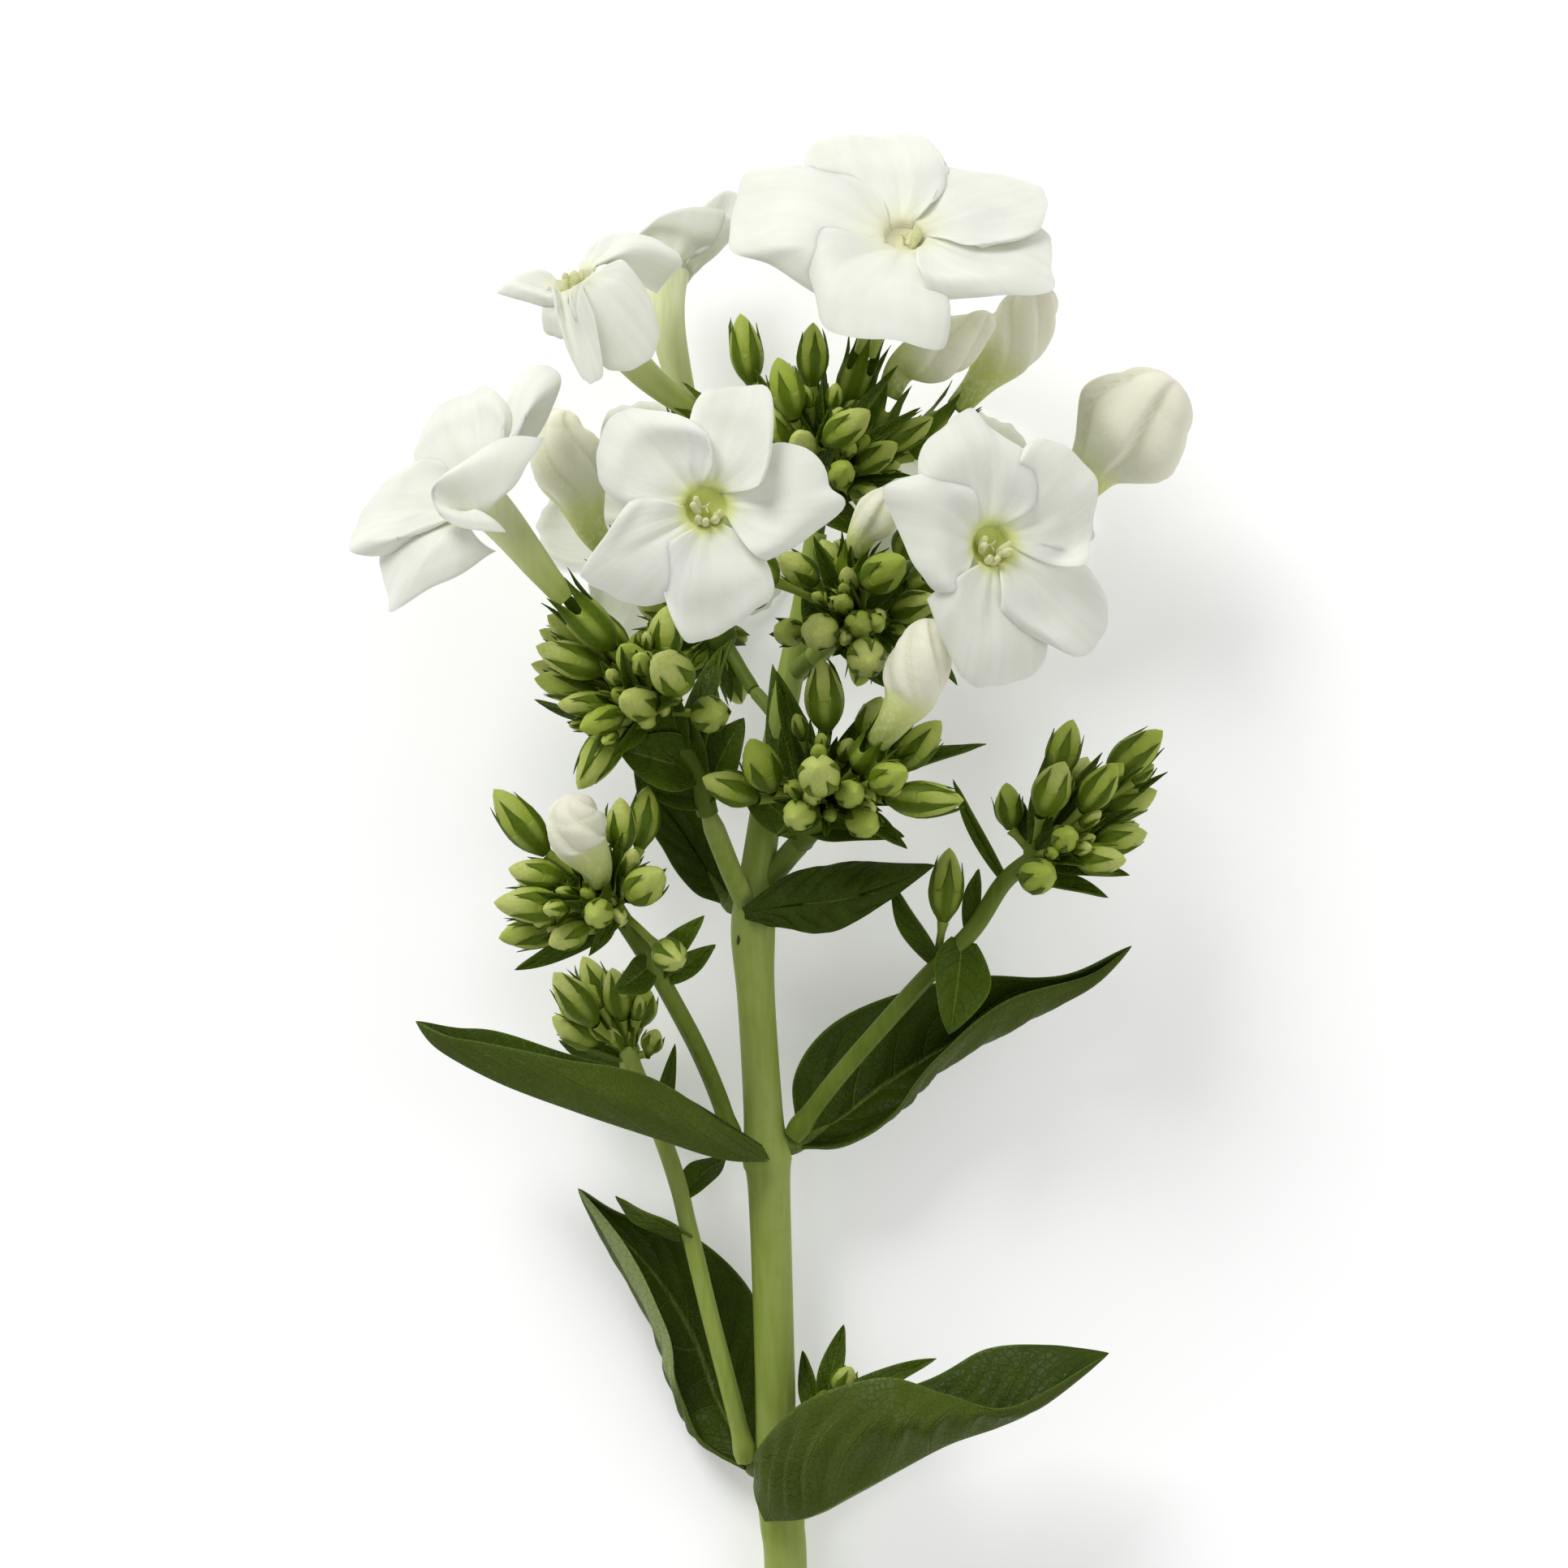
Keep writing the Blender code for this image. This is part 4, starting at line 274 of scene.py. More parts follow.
         (-33.4, 86.2, 14.6, -26.4, 84.6, 14.6, 2.2), (-35.2, 82.0, 19.0, -26.4, 81.4, 17.4, 2.4),
         (-34.6, 77.6, 13.0, -26.2, 79.2, 13.4, 2.3), (-22.8, 80.2, 27.0, -21.8, 81.0, 19.4, 1.9),
         (-28.4, 76.8, 19.0, -23.6, 79.2, 16.4, 1.9), (-12.2, 74.8, 23.0, -14.6, 76.2, 16.4, 2.2),
         (-26.4, 92.6, 8.4, -23.6, 86.4, 11.0, 2.2), (-27.6, 84.0, 6.0, -23.8, 82.6, 9.4, 2.2)],
        [(-21.0, 80.0, 12.6, -32.6, 73.7, 10.6, 3.2, 20), (-15.8, 74.4, 13.0, -20.4, 71.0, 16.6, 4.6, 10),
         (-14.6, 72.6, 12.6, -9.2, 80.4, 14.0, 3.6, 20), (-14.2, 72.0, 12.2, -7.8, 76.8, 12.6, 3.2, -20)]),
    "shoot_back_left": (
        [(-4.3, 14.6, 0.4), (-6.4, 23.0, 0.8), (-9.0, 33.0, 0.8), (-11.2, 42.0, 0.2), (-12.4, 47.0, -1.0),
         (-14.8, 54.0, -3.4), (-18.4, 62.8, -5.6)],
        [(-27.8, 73.4, -3.6, -22.6, 67.0, -4.8, 2.3), (-24.2, 75.4, -9.4, -21.0, 68.6, -8.0, 2.2),
         (-20.6, 74.0, -3.4, -19.4, 67.6, -4.6, 2.2), (-28.0, 67.9, -4.2, -21.6, 64.6, -5.2, 2.3),
         (-16.6, 72.0, -7.0, -17.4, 66.6, -6.4, 2.2), (-15.0, 66.4, -3.8, -16.2, 63.4, -4.6, 1.5)],
        [(-18.0, 61.6, -5.2, -27.2, 65.0, -8.4, 3.4, 40), (-14.2, 52.6, -3.0, -12.8, 64.6, -4.4, 2.6, 20),
         (-11.0, 41.2, 0.6, -20.2, 45.7, 3.4, 4.6, 50), (-12.2, 46.0, -0.6, -6.6, 50.6, -5.6, 4.0, 20)]),
    "shoot_right": (
        [(2.6, 54.4, 1.6), (8.0, 61.4, 4.0), (17.0, 71.6, 5.4), (23.6, 78.4, 6.2), (27.6, 84.4, 6.8),
         (31.4, 87.6, 7.0)],
        [(36.2, 104.6, 7.0, 34.0, 97.4, 7.0, 2.3), (47.3, 103.2, 8.0, 40.4, 97.6, 8.0, 2.6),
         (35.2, 99.4, 13.6, 32.2, 92.8, 12.0, 2.5), (41.6, 99.2, 14.4, 37.4, 93.4, 12.0, 2.3),
         (46.6, 95.8, 4.6, 39.4, 92.6, 5.6, 2.3), (45.4, 90.6, 10.0, 38.6, 89.0, 9.2, 2.2),
         (42.8, 87.2, 15.0, 36.4, 87.4, 12.4, 2.1), (33.4, 85.8, 18.0, 30.6, 84.8, 12.0, 2.3),
         (28.0, 96.8, 5.6, 28.6, 91.0, 6.4, 1.9), (36.0, 90.4, 18.4, 34.6, 89.4, 12.6, 1.7),
         (38.0, 100.0, 1.0, 35.2, 93.6, 2.6, 2.2), (41.6, 88.6, 2.6, 36.4, 88.2, 4.4, 2.1)],
        [(32.0, 85.8, 7.2, 43.2, 85.4, 7.4, 3.2, 20), (29.6, 84.6, 7.0, 40.6, 82.6, 8.6, 3.4, 40),
         (26.8, 85.4, 6.6, 21.4, 97.2, 3.0, 1.9, 20), (22.0, 77.6, 6.4, 21.0, 65.8, 11.4, 7.6, 10),
         (19.6, 74.4, 5.6, 13.6, 84.6, 2.6, 3.4, 30), (23.4, 78.4, 5.6, 24.6, 86.2, 2.4, 2.4, 10)]),
    "shoot_lower": (
        [(3.2, 14.4, 1.0), (4.4, 17.0, 1.2), (5.6, 19.6, 1.4)],
        [(8.9, 24.8, 3.4, 7.2, 21.6, 2.4, 1.7)],
        [(6.2, 20.4, 1.2, 8.0, 30.0, 0.2, 3.2, 10), (4.6, 18.0, -0.2, 2.9, 26.8, -2.8, 2.6, 10),
         (7.0, 20.2, 1.4, 19.4, 25.8, 0.4, 3.2, 30)]),
}
# A side bud with a stalk of its own on a shoot: its root on the shoot, tip, base and radius
SIDE_BUDS = {"shoot_right": [((19.4, 74.6, 5.8), (21.0, 88.8, 4.6), (20.2, 79.6, 5.2), 2.3)]}

# Open flowers: throat, the way they face, calyx mouth and base, how far the first petal is rolled
# clockwise from the top, how many anthers show, and how pale the foot of the tube is
Flower = namedtuple("Flower", "cyme throat facing mouth base roll anthers pale", defaults=(0.0, 3, 0.0))
FLOWERS = {
    "flower_top": Flower(
        "cyme_top", (15.5, 164.2, 12.0), (0.05, 0.66, 0.75), (10.6, 149.6, 0.6),
        (8.4, 142.8, -1.8), roll=-14.0, anthers=1),
    "flower_centre": Flower(
        "cyme_middle", (-9.0, 130.7, 36.0), (0.04, -0.04, 1.0), (-5.2, 125.4, 18.0),
        (-0.6, 121.6, 13.0), roll=17.0),
    "flower_right": Flower(
        "cyme_middle", (26.2, 126.0, 29.0), (0.42, 0.0, 0.91), (20.2, 123.0, 12.6),
        (16.6, 120.6, 8.2)),
    "flower_left": Flower(
        "cyme_left", (-36.6, 131.6, 19.0), (-0.62, 0.6, 0.5), (-26.2, 119.4, 15.0),
        (-20.4, 113.4, 14.0)),
    "flower_upper_left": Flower(
        "cyme_top", (-25.2, 158.6, 8.0), (-0.5, 0.8, 0.35), (-10.6, 142.8, 2.6),
        (-4.6, 139.6, 2.2)),
    "flower_behind": Flower(
        "cyme_back_left", (-13.6, 159.8, -12.0), (0.16, 0.84, -0.52), (-11.2, 141.8, -8.6),
        (-9.8, 134.4, -8.2), pale=0.3),
    "flower_back_left": Flower(
        "cyme_back_left", (-13.6, 128.6, -21.9), (0.0, -0.139, -0.99), (-10.6, 122.4, -13.6),
        (-9.2, 118.8, -10.6), roll=12.0),
    "flower_back_right": Flower(
        "cyme_back_right", (22.6, 126.6, -21.6), (0.0, -0.139, -0.99), (18.0, 122.8, -13.4),
        (15.6, 120.8, -10.4), roll=-20.0),
}
SHOWN_STAMENS = ("flower_top", "flower_centre", "flower_right", "flower_upper_left")

# The edge of each petal as seen: x and y of each point in tenths of a millimetre from the picture's top
# left corner, round from one side of the petal over its end to the other. Then, in millimetres, its
# depth from the flower's face at its start, middle and end, and how far both sides and the tip curl forwards.
PICTURE_MIDDLE = 960
PICTURE_FOOT = 1932
PETAL_EDGES = {
    "flower_centre": [
        ((848, 560, 857, 500, 874, 479, 912, 476, 950, 482, 951, 540, 940, 592),
         (-1.2, -0.4, 1.2), (-0.6, 1.6, -0.8)),
        ((948, 566, 968, 545, 1006, 562, 1025, 600, 1041, 622, 995, 664, 945, 691),
         (-1.0, -0.6, 1.0), (-1.4, 0.8, -0.6)),
        ((938, 694, 952, 731, 925, 757, 888, 780, 848, 793, 826, 755, 806, 690),
         (-1.0, -0.2, 1.0), (-0.6, -2.2, 0.8)),
        ((838, 735, 800, 747, 762, 738, 726, 720, 718, 700, 745, 660, 775, 618),
         (-1.0, -0.6, 1.2), (-0.4, -1.8, -0.6)),
        ((765, 625, 737, 588, 738, 548, 762, 506, 805, 505, 858, 522, 877, 558),
         (-1.2, -0.8, 1.2), (-1.0, -1.2, -2.2))],
    "flower_right": [
        ((1140, 610, 1136, 560, 1165, 523, 1200, 503, 1232, 528, 1272, 556, 1288, 600),
         (-0.8, -1.0, 1.2), (-0.4, -1.6, -1.0)),
        ((1262, 556, 1283, 539, 1322, 551, 1358, 588, 1353, 625, 1346, 662, 1332, 694),
         (-1.2, -1.2, 0.4), (-0.4, 1.2, -0.6)),
        ((1318, 690, 1352, 706, 1368, 742, 1358, 785, 1332, 811, 1290, 793, 1240, 762),
         (-0.6, -0.8, 1.4), (-0.8, -2.4, -0.4)),
        ((1290, 790, 1284, 820, 1250, 841, 1212, 847, 1186, 834, 1164, 782, 1154, 738),
         (-1.4, -0.6, 0.2), (0.0, -2.0, -0.4)),
        ((1180, 714, 1156, 728, 1134, 700, 1112, 645, 1097, 602, 1140, 584, 1188, 578),
         (0.8, 0.8, 1.8), (-0.4, -1.6, -1.2))],
    "flower_top": [
        ((990, 215, 996, 188, 1040, 172, 1090, 166, 1135, 167, 1165, 205, 1150, 248),
         (-1.6, -0.6, 1.2), (-0.6, 0.6, 0.6)),
        ((1150, 205, 1185, 200, 1235, 205, 1285, 226, 1290, 252, 1272, 290, 1210, 307),
         (-1.4, -0.2, 1.2), (-0.6, -0.8, -0.4)),
        ((1272, 262, 1294, 278, 1298, 318, 1294, 354, 1240, 366, 1180, 368, 1142, 364),
         (-1.4, -0.4, 1.0), (-0.4, 0.8, -1.0)),
        ((1150, 372, 1164, 405, 1156, 430, 1095, 419, 1022, 398, 1002, 345, 986, 278),
         (-1.6, 0.2, 1.4), (0.6, -0.8, -0.8)),
        ((1010, 355, 950, 322, 905, 303, 903, 255, 918, 206, 985, 201, 1050, 222),
         (-1.6, -0.4, 1.2), (-0.8, -1.0, -0.8))],
    "flower_left": [
        ((500, 560, 496, 525, 528, 486, 568, 478, 592, 467, 624, 500, 622, 540),
         (-1.4, -1.6, -1.0), (-1.2, -1.6, -1.4)),
        ((622, 530, 625, 500, 642, 462, 660, 451, 692, 465, 676, 508, 655, 560),
         (-3.4, -5.4, -4.4), (-1.2, 1.4, -0.6)),
        ((655, 525, 612, 530, 562, 566, 522, 592, 528, 622, 560, 637, 598, 632),
         (4.0, 8.0, 6.0), (-1.4, -1.8, -1.4)),
        ((500, 662, 463, 678, 464, 715, 474, 746, 520, 722, 565, 698, 600, 668),
         (-0.8, 0.4, 0.8), (-0.4, -2.4, -0.6)),
        ((530, 550, 486, 554, 455, 600, 430, 640, 428, 672, 452, 685, 500, 668),
         (0.8, 0.4, 0.2), (-1.6, -0.6, -1.2))],
    "flower_upper_left": [
        ((718, 326, 735, 302, 765, 294, 800, 292, 828, 300, 832, 318, 800, 346),
         (-4.0, -7.0, -5.0), (-0.6, -0.8, -0.6)),
        ((770, 324, 795, 358, 804, 395, 793, 428, 764, 447, 736, 440, 716, 400),
         (0.0, 3.0, 5.0), (-1.0, -1.2, -0.8)),
        ((722, 372, 733, 440, 730, 462, 722, 468, 710, 455, 694, 405, 683, 356),
         (7.0, 6.0, 4.0), (-1.0, -1.0, -0.4)),
        ((700, 380, 698, 405, 694, 417, 684, 418, 674, 414, 676, 390, 681, 362),
         (2.0, 0.0, -1.0), (-0.6, -0.6, -0.4)),
        ((684, 368, 672, 377, 640, 371, 608, 356, 622, 340, 650, 328, 684, 333),
         (1.0, -1.0, -3.0), (-1.0, -0.6, -0.4))],
    "flower_behind": [
        ((800, 322, 786, 292, 814, 262, 862, 259, 894, 266, 872, 294, 838, 320),
         (3.0, 4.0, 3.0), (0.4, 0.6, 0.6)),
        ((868, 290, 893, 268, 902, 295, 872, 318, 845, 345, 823, 366, 818, 350),
         (2.0, -1.0, -1.0), (0.4, 0.6, 0.4)),
        ((850, 275, 866, 258, 882, 248, 905, 244, 918, 262, 905, 292, 860, 318),
         (0.0, -4.0, -3.0), (0.4, 0.6, 0.4)),
        ((800, 330, 792, 300, 805, 280, 830, 270, 850, 276, 846, 305, 825, 335),
         (-3.0, -6.0, -4.0), (0.4, 0.6, 0.4)),
        ((822, 340, 835, 300, 855, 282, 880, 280, 884, 300, 860, 325, 832, 350),
         (-4.0, -7.0, -5.0), (0.4, 0.6, 0.4))],
}
# The way each face lies for reading depths, where it is nearly side on to the viewer
FACE_SLOPES = {
    "flower_left": (-0.30, 0.30, 0.90), "flower_upper_left": (0.0, 0.0, 1.0),
    "flower_behind": (0.0, 0.0, 1.0),
}

# White buds about to open: base of the calyx, how far the petals are wound in degrees, radius of the
# calyx, radii along the bud, and its line from the calyx mouth to the tip
OpeningBud = namedtuple("OpeningBud", "cyme base twist calyx radii path")
OPENING_BUDS = {
    "bud_left": OpeningBud(
        "cyme_back_left", (-16.6, 120.6, -2.4), 130.0, 3.1, (1.4, 1.9, 3.2, 4.3, 3.0, 0.0),
        [(-20.6, 124.8, -0.4), (-22.6, 128.6, 0.6), (-24.6, 132.6, 1.4), (-26.2, 136.6, 2.0),
         (-26.6, 140.4, 2.2), (-25.8, 142.6, 2.2)]),
    "bud_top": OpeningBud(
        "cyme_top", (10.6, 138.0, 1.2), 190.0, 3.0, (1.4, 2.0, 3.4, 3.5, 2.0, 0.0),
        [(13.4, 144.4, 1.6), (15.4, 147.6, 2.4), (18.2, 149.4, 3.2), (21.4, 151.0, 4.0), (24.4, 152.8, 4.4),
         (26.2, 154.6, 4.6)]),
    "bud_top_right": OpeningBud(
        "cyme_top", (16.4, 137.0, -3.0), 190.0, 3.0, (1.4, 2.0, 3.6, 3.9, 3.0, 0.0),
        [(21.8, 142.8, -3.4), (24.6, 146.4, -3.6), (27.4, 149.6, -3.8), (29.6, 152.6, -4.0),
         (31.4, 155.6, -4.0), (32.4, 158.4, -4.0)]),
    "bud_right": OpeningBud(
        "cyme_back_right", (24.6, 124.4, -5.4), 62.0, 3.1, (1.4, 1.9, 3.9, 7.1, 5.0, 0.0),
        [(31.0, 128.4, -3.4), (36.4, 133.2, -2.2), (39.4, 136.2, -1.6), (43.0, 139.8, -0.8),
         (46.5, 143.4, 0.0), (49.2, 146.2, 0.4)]),
    "bud_front": OpeningBud(
        "cyme_front", (9.6, 98.4, 22.6), 170.0, 2.9, (1.4, 2.1, 3.1, 3.4, 2.7, 0.0),
        [(12.0, 101.6, 24.6), (14.5, 104.8, 25.6), (16.1, 107.6, 26.4), (17.1, 110.9, 27.0),
         (18.1, 114.1, 27.2), (18.9, 117.0, 27.0)]),
    "bud_shoot_left": OpeningBud(
        "shoot_left", (-22.4, 83.0, 16.8), 150.0, 2.9, (1.5, 2.1, 3.3, 3.5, 2.8, 0.0),
        [(-22.4, 84.4, 18.0), (-23.1, 86.8, 18.8), (-24.3, 89.4, 20.0), (-25.0, 91.4, 21.2),
         (-25.4, 93.2, 22.2), (-25.7, 95.0, 23.2)]),
    "bud_middle": OpeningBud(
        "cyme_middle", (8.4, 121.8, 10.4), 40.0, 2.8, (1.4, 1.9, 2.7, 0.0),
        [(9.4, 125.0, 12.2), (10.8, 127.6, 13.4), (12.6, 130.2, 14.6), (14.4, 132.8, 15.4)]),
}


def unit(vector):
    return vector / np.linalg.norm(vector)


def smoothstep(x, low=0.0, high=1.0):
    x = np.clip((x - low) / (high - low), 0, 1)
    return x * x * (3 - 2 * x)


def place(x, y, z):
    """The true point, in the plant's frame, of what is seen at x, y when it lies z in front."""
    near = (VIEW_DISTANCE - z) / VIEW_DISTANCE
    return np.array([
        VIEW_MIDDLE[0] + (x - VIEW_MIDDLE[0]) * near,
        VIEW_MIDDLE[1] + (y - VIEW_MIDDLE[1]) * near,
        z,
    ])


def unplace(point):
    """Where a true point is seen, with its depth: the reverse of place()."""
    far = VIEW_DISTANCE / (VIEW_DISTANCE - point[2])
    return (
        VIEW_MIDDLE[0] + (point[0] - VIEW_MIDDLE[0]) * far,
        VIEW_MIDDLE[1] + (point[1] - VIEW_MIDDLE[1]) * far,
        point[2],
    )


def lean_back(points):
    """How far along the floor and how far above it points of the plant's frame come to lie."""
    lean = math.radians(LEAN)
    foot = STEM_END * math.sin(lean) - FLOOR_DEPTH * math.cos(lean)
    _, y, z = np.array(points, float).T
    along = y * math.cos(lean) - z * math.sin(lean)
    return along, y * math.sin(lean) + z * math.cos(lean) - foot


def to_world(points):
    """Points of the plant's frame, in millimetres, as world points in metres."""
    along, up = lean_back(points)
    x = np.array(points, float)[:, 0]
    return np.column_stack([x - BOX_MIDDLE[0], along - BOX_MIDDLE[1], up]) * 0.001


def above_floor(points, least):
    """The points with any that lie closer to the floor than least, in millimetres, lifted smoothly."""
    flat = points.reshape(-1, 3)
    height = lean_back(flat)[1]
    lifted = least + FLOOR_EASE * np.logaddexp(0, (height - least) / FLOOR_EASE)
    up = np.array([0.0, math.sin(math.radians(LEAN)), math.cos(math.radians(LEAN))])
    near = height < least + 1.5
    return (flat + np.where(near, lifted - height, 0)[:, None] * up).reshape(points.shape)


def smooth_curve(points, count):
    """count points on the smooth curve through points, which may be points or rows of points."""
    known = np.array(points, float)
    spans = len(known) - 1
    ends = (2 * known[:1] - known[1:2], known, 2 * known[-1:] - known[-2:-1])
    padded = np.concatenate(ends)
    at = np.linspace(0, spans, count)
    span = np.minimum(at.astype(int), spans - 1)
    f = (at - span).reshape((-1,) + (1,) * (known.ndim - 1))
    a, b, c, d = (padded[span + k] for k in range(4))
    bend = (2 * a - 5 * b + 4 * c - d) * f ** 2 + (3 * b - a - 3 * c + d) * f ** 3
    return b + 0.5 * ((c - a) * f + bend)


def curve_seen(points, count):
    """count true points on the smooth curve through seen places."""
    return smooth_curve([place(*p) for p in points], count)


def side_of(direction, hint=(0.0, 1.0, 0.0)):
    """A unit vector across direction, as near to hint as can be."""
    hint = np.array(hint, float)
    if abs(unit(hint) @ unit(direction)) > 0.98:
        hint = np.array([1.0, 0.0, 0.2])
    return unit(hint - (hint @ unit(direction)) * unit(direction))


def frames_along(path, hint=(0.0, 1.0, 0.0)):
    """A side and another side for each point of a path, turning as little as the path allows."""
    ways = np.gradient(np.array(path), axis=0)
    side = side_of(ways[0], hint)
    sides, others = [], []
    for way in ways:
        way = unit(way)
        side = unit(side - (side @ way) * way)
        sides.append(side)
        others.append(np.cross(way, side))
    return np.array(sides), np.array(others)


def turns(count):
    """count angles, evenly spaced round a full turn."""
    return np.arange(count) * TURN / count


def rings_along(path, turn, hint=(0.0, 1.0, 0.0)):
    """Round each point of a path, the unit vectors across it at the angles of turn."""
    sides, others = frames_along(path, hint)
    return np.cos(turn)[None, :, None] * sides[:, None] + np.sin(turn)[None, :, None] * others[:, None]


def swung(turn, up, right):
    """The direction up, swung by an angle towards right."""
    return math.cos(turn) * up + math.sin(turn) * right


def blade_grid(rows, columns, start=0.0):
    """How far each point of a blade lies along it, from start to 1, and across it, from -1 to 1."""
    return np.meshgrid(np.linspace(start, 1, rows), np.linspace(-1, 1, columns), indexing="ij")


def normals(grid):
    """The unit normal at each point of a grid."""
    normal = np.cross(np.gradient(grid, axis=1), np.gradient(grid, axis=0))
    return normal / np.maximum(np.linalg.norm(normal, axis=2), 1e-9)[..., None]


def chance(*key):
    """A number from 0 to 1 that belongs to a key, the same at each run."""
    total = sum((i + 1) * 12.9898 * float(k) for i, k in enumerate(key))
    return (math.sin(total) * 43758.5453) % 1.0


def split(row):
    """The two places at the start of a row, and the numbers behind them."""
    return (row[:3], row[3:6], *row[6:])


class Skin:
    """A mesh in the making: sheets of quads, and the numbers that the materials read at each point."""

    NUMBERS = ("along", "across", "rib", "phase", "face", "seed")

    def __init__(self):
        self.points = []
        self.faces = []
        self.numbers = {name: [] for name in self.NUMBERS}
        self.count = 0

    def ring_grid(self, points, **numbers):
        """Rows of points, each row closed on itself, joined to the next row and facing outwards."""
        rows, columns = points.shape[:2]
        ids = np.arange(rows * columns).reshape(rows, columns)
        ids = np.hstack([ids, ids[:, :1]])
        quads = np.stack([ids[:-1, :-1], ids[:-1, 1:], ids[1:, 1:], ids[1:, :-1]], axis=-1)
        quads = quads.reshape(-1, 4)
        flat = points.reshape(-1, 3)
        a, b, c, d = (flat[quads[:, k]] - flat.mean(axis=0) for k in range(4))
        volume = np.einsum("ij,ij->i", a, np.cross(b, c) + np.cross(c, d)).sum()
        if volume < 0:
            quads = quads[:, ::-1]
        self.points.append(flat)
        self.faces.append(quads + self.count)
        self.count += rows * columns
        for name in self.NUMBERS:
            value = np.broadcast_to(numbers.get(name, 0.0), (rows, columns))
            self.numbers[name].append(value.reshape(-1))

    def build(self, name, slot, look, nodes=()):
        """The mesh as a piece that rides on the plant, in the material that look names."""
        world = to_world(np.concatenate(self.points))
        world[:, 2] = np.maximum(world[:, 2], 0)
        mesh = bpy.data.meshes.new(name)
        faces = np.concatenate(self.faces)
        mesh.vertices.add(len(world))
        mesh.vertices.foreach_set("co", world.reshape(-1))
        mesh.loops.add(faces.size)
        mesh.loops.foreach_set("vertex_index", faces.reshape(-1))
        mesh.polygons.add(len(faces))
        mesh.polygons.foreach_set("loop_start", np.arange(0, faces.size, 4))
        mesh.update(calc_edges=True)
        mesh.shade_smooth()
        for number, values in self.numbers.items():
            attribute = mesh.attributes.new(number, "FLOAT", "POINT")
            attribute.data.foreach_set("value", np.concatenate(values))
        mesh.materials.append(MATERIALS[look])
        thing = bpy.data.objects.new(name, mesh)
        bpy.context.scene.collection.objects.link(thing)
        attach(thing, "root")
        if nodes:
            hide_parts(*nodes)


def sheet_points(grid, thick, margin):
    """A sheet's rows of points as rings: along its front from one margin to the other, and back.

    thick is its thickness in the middle; it thins to nothing within margin of every edge but its foot.
    """
    rows, columns = grid.shape[:2]
    t = np.linspace(0, 1, rows)[:, None]
    u = np.abs(np.linspace(-1, 1, columns))[None]
    depth = np.sqrt(np.clip((1 - u) / margin, 0, 1)) * np.sqrt(np.clip((1 - t) / margin, 0, 1))
    half = normals(grid) * (0.5 * thick * depth)[..., None]
    return both_faces(grid + half, grid - half)


def both_faces(front, back=None):
    """Numbers or points for a sheet's front and its back, in rows that go out and come back."""
    back = front if back is None else back
    return np.concatenate([front, back[:, ::-1]], axis=1)


def add_sheet(skin, grid, thick, seed=0.0, upper=1, phase=0.0, margin=0.12, start=0.0):
    """Adds a thin closed sheet over a grid of points. upper tells which side is its upper face."""
    rows, columns = grid.shape[:2]
    t, u = blade_grid(rows, columns, start)
    front = np.full((rows, columns), float(upper > 0))
    skin.ring_grid(
        sheet_points(above_floor(grid, thick), thick, margin), along=both_faces(np.maximum(t, 0)),
        across=both_faces(u), phase=both_faces(phase + 0 * u), face=both_faces(front, 1 - front), seed=seed)


def sweep(skin, path, radius, sides=None, hint=(0.0, 1.0, 0.0), closed=True, **numbers):
    """A tube along path. radius holds a row for each point of path and a column for each side."""
    path = np.array(path, float)
    if radius.ndim == 1:
        radius = np.repeat(radius[:, None], sides, axis=1)
    count = radius.shape[1]
    points = path[:, None] + radius[..., None] * rings_along(path, turns(count), hint)
    if closed:
        first, last = (np.repeat(path[k, None, None], count, axis=1) for k in (0, -1))
        points = np.concatenate([first, points, last])
    numbers.setdefault("along", np.linspace(0, 1, len(points))[:, None])
    skin.ring_grid(points, **numbers)


def bud_beads(tip, base, radius):
    """A bud as three balls, in the order base to tip: centres and radii."""
    end, foot = place(*tip), place(*base)
    centres = [foot + (end - foot) * s for s in (0.25, 0.55, 0.85)]
    return np.array(centres), radius * np.array([0.9, 0.95, 0.6])


def set_apart(buds, fixed):
    """The buds with their depth changed, and nothing else, until hardly any cuts another."""
    beads = [bud_beads(*row) for row in buds] + [bud_beads(*row) for row in fixed]
    for _ in range(SPREAD_ROUNDS):
        for i in range(len(buds)):
            for j in range(i + 1, len(beads)):
                push = depth_push(beads[i], beads[j])
                share = 0.5 if j < len(buds) else 1.0
                beads[i][0][:, 2] += push * share
                if j < len(buds):
                    beads[j][0][:, 2] -= push * share
    moved = []
    for (tip, base, radius), (centres, _) in zip(buds, beads):
        shift = centres[0][2] - bud_beads(tip, base, radius)[0][0][2]
        shift = max(-SPREAD_LIMIT, min(SPREAD_LIMIT, shift))
        moved.append(((*tip[:2], tip[2] + shift), (*base[:2], base[2] + shift), radius))
    return moved


def depth_push(one, other):
    """How far the first of two beaded buds has to move in depth to clear the second."""
    between = one[0][:, None] - other[0][None]
    need = one[1][:, None] + other[1][None]
    flat = np.hypot(between[..., 0], between[..., 1])
    depth = between[..., 2]
    wanted = np.sqrt(np.maximum(need ** 2 - flat ** 2, 0))
    way = 1.0 if depth.mean() >= 0 else -1.0
    lack = np.where(flat < need, wanted - depth * way, 0)
    return way * min(max(lack.max(), 0), SPREAD_STEP)


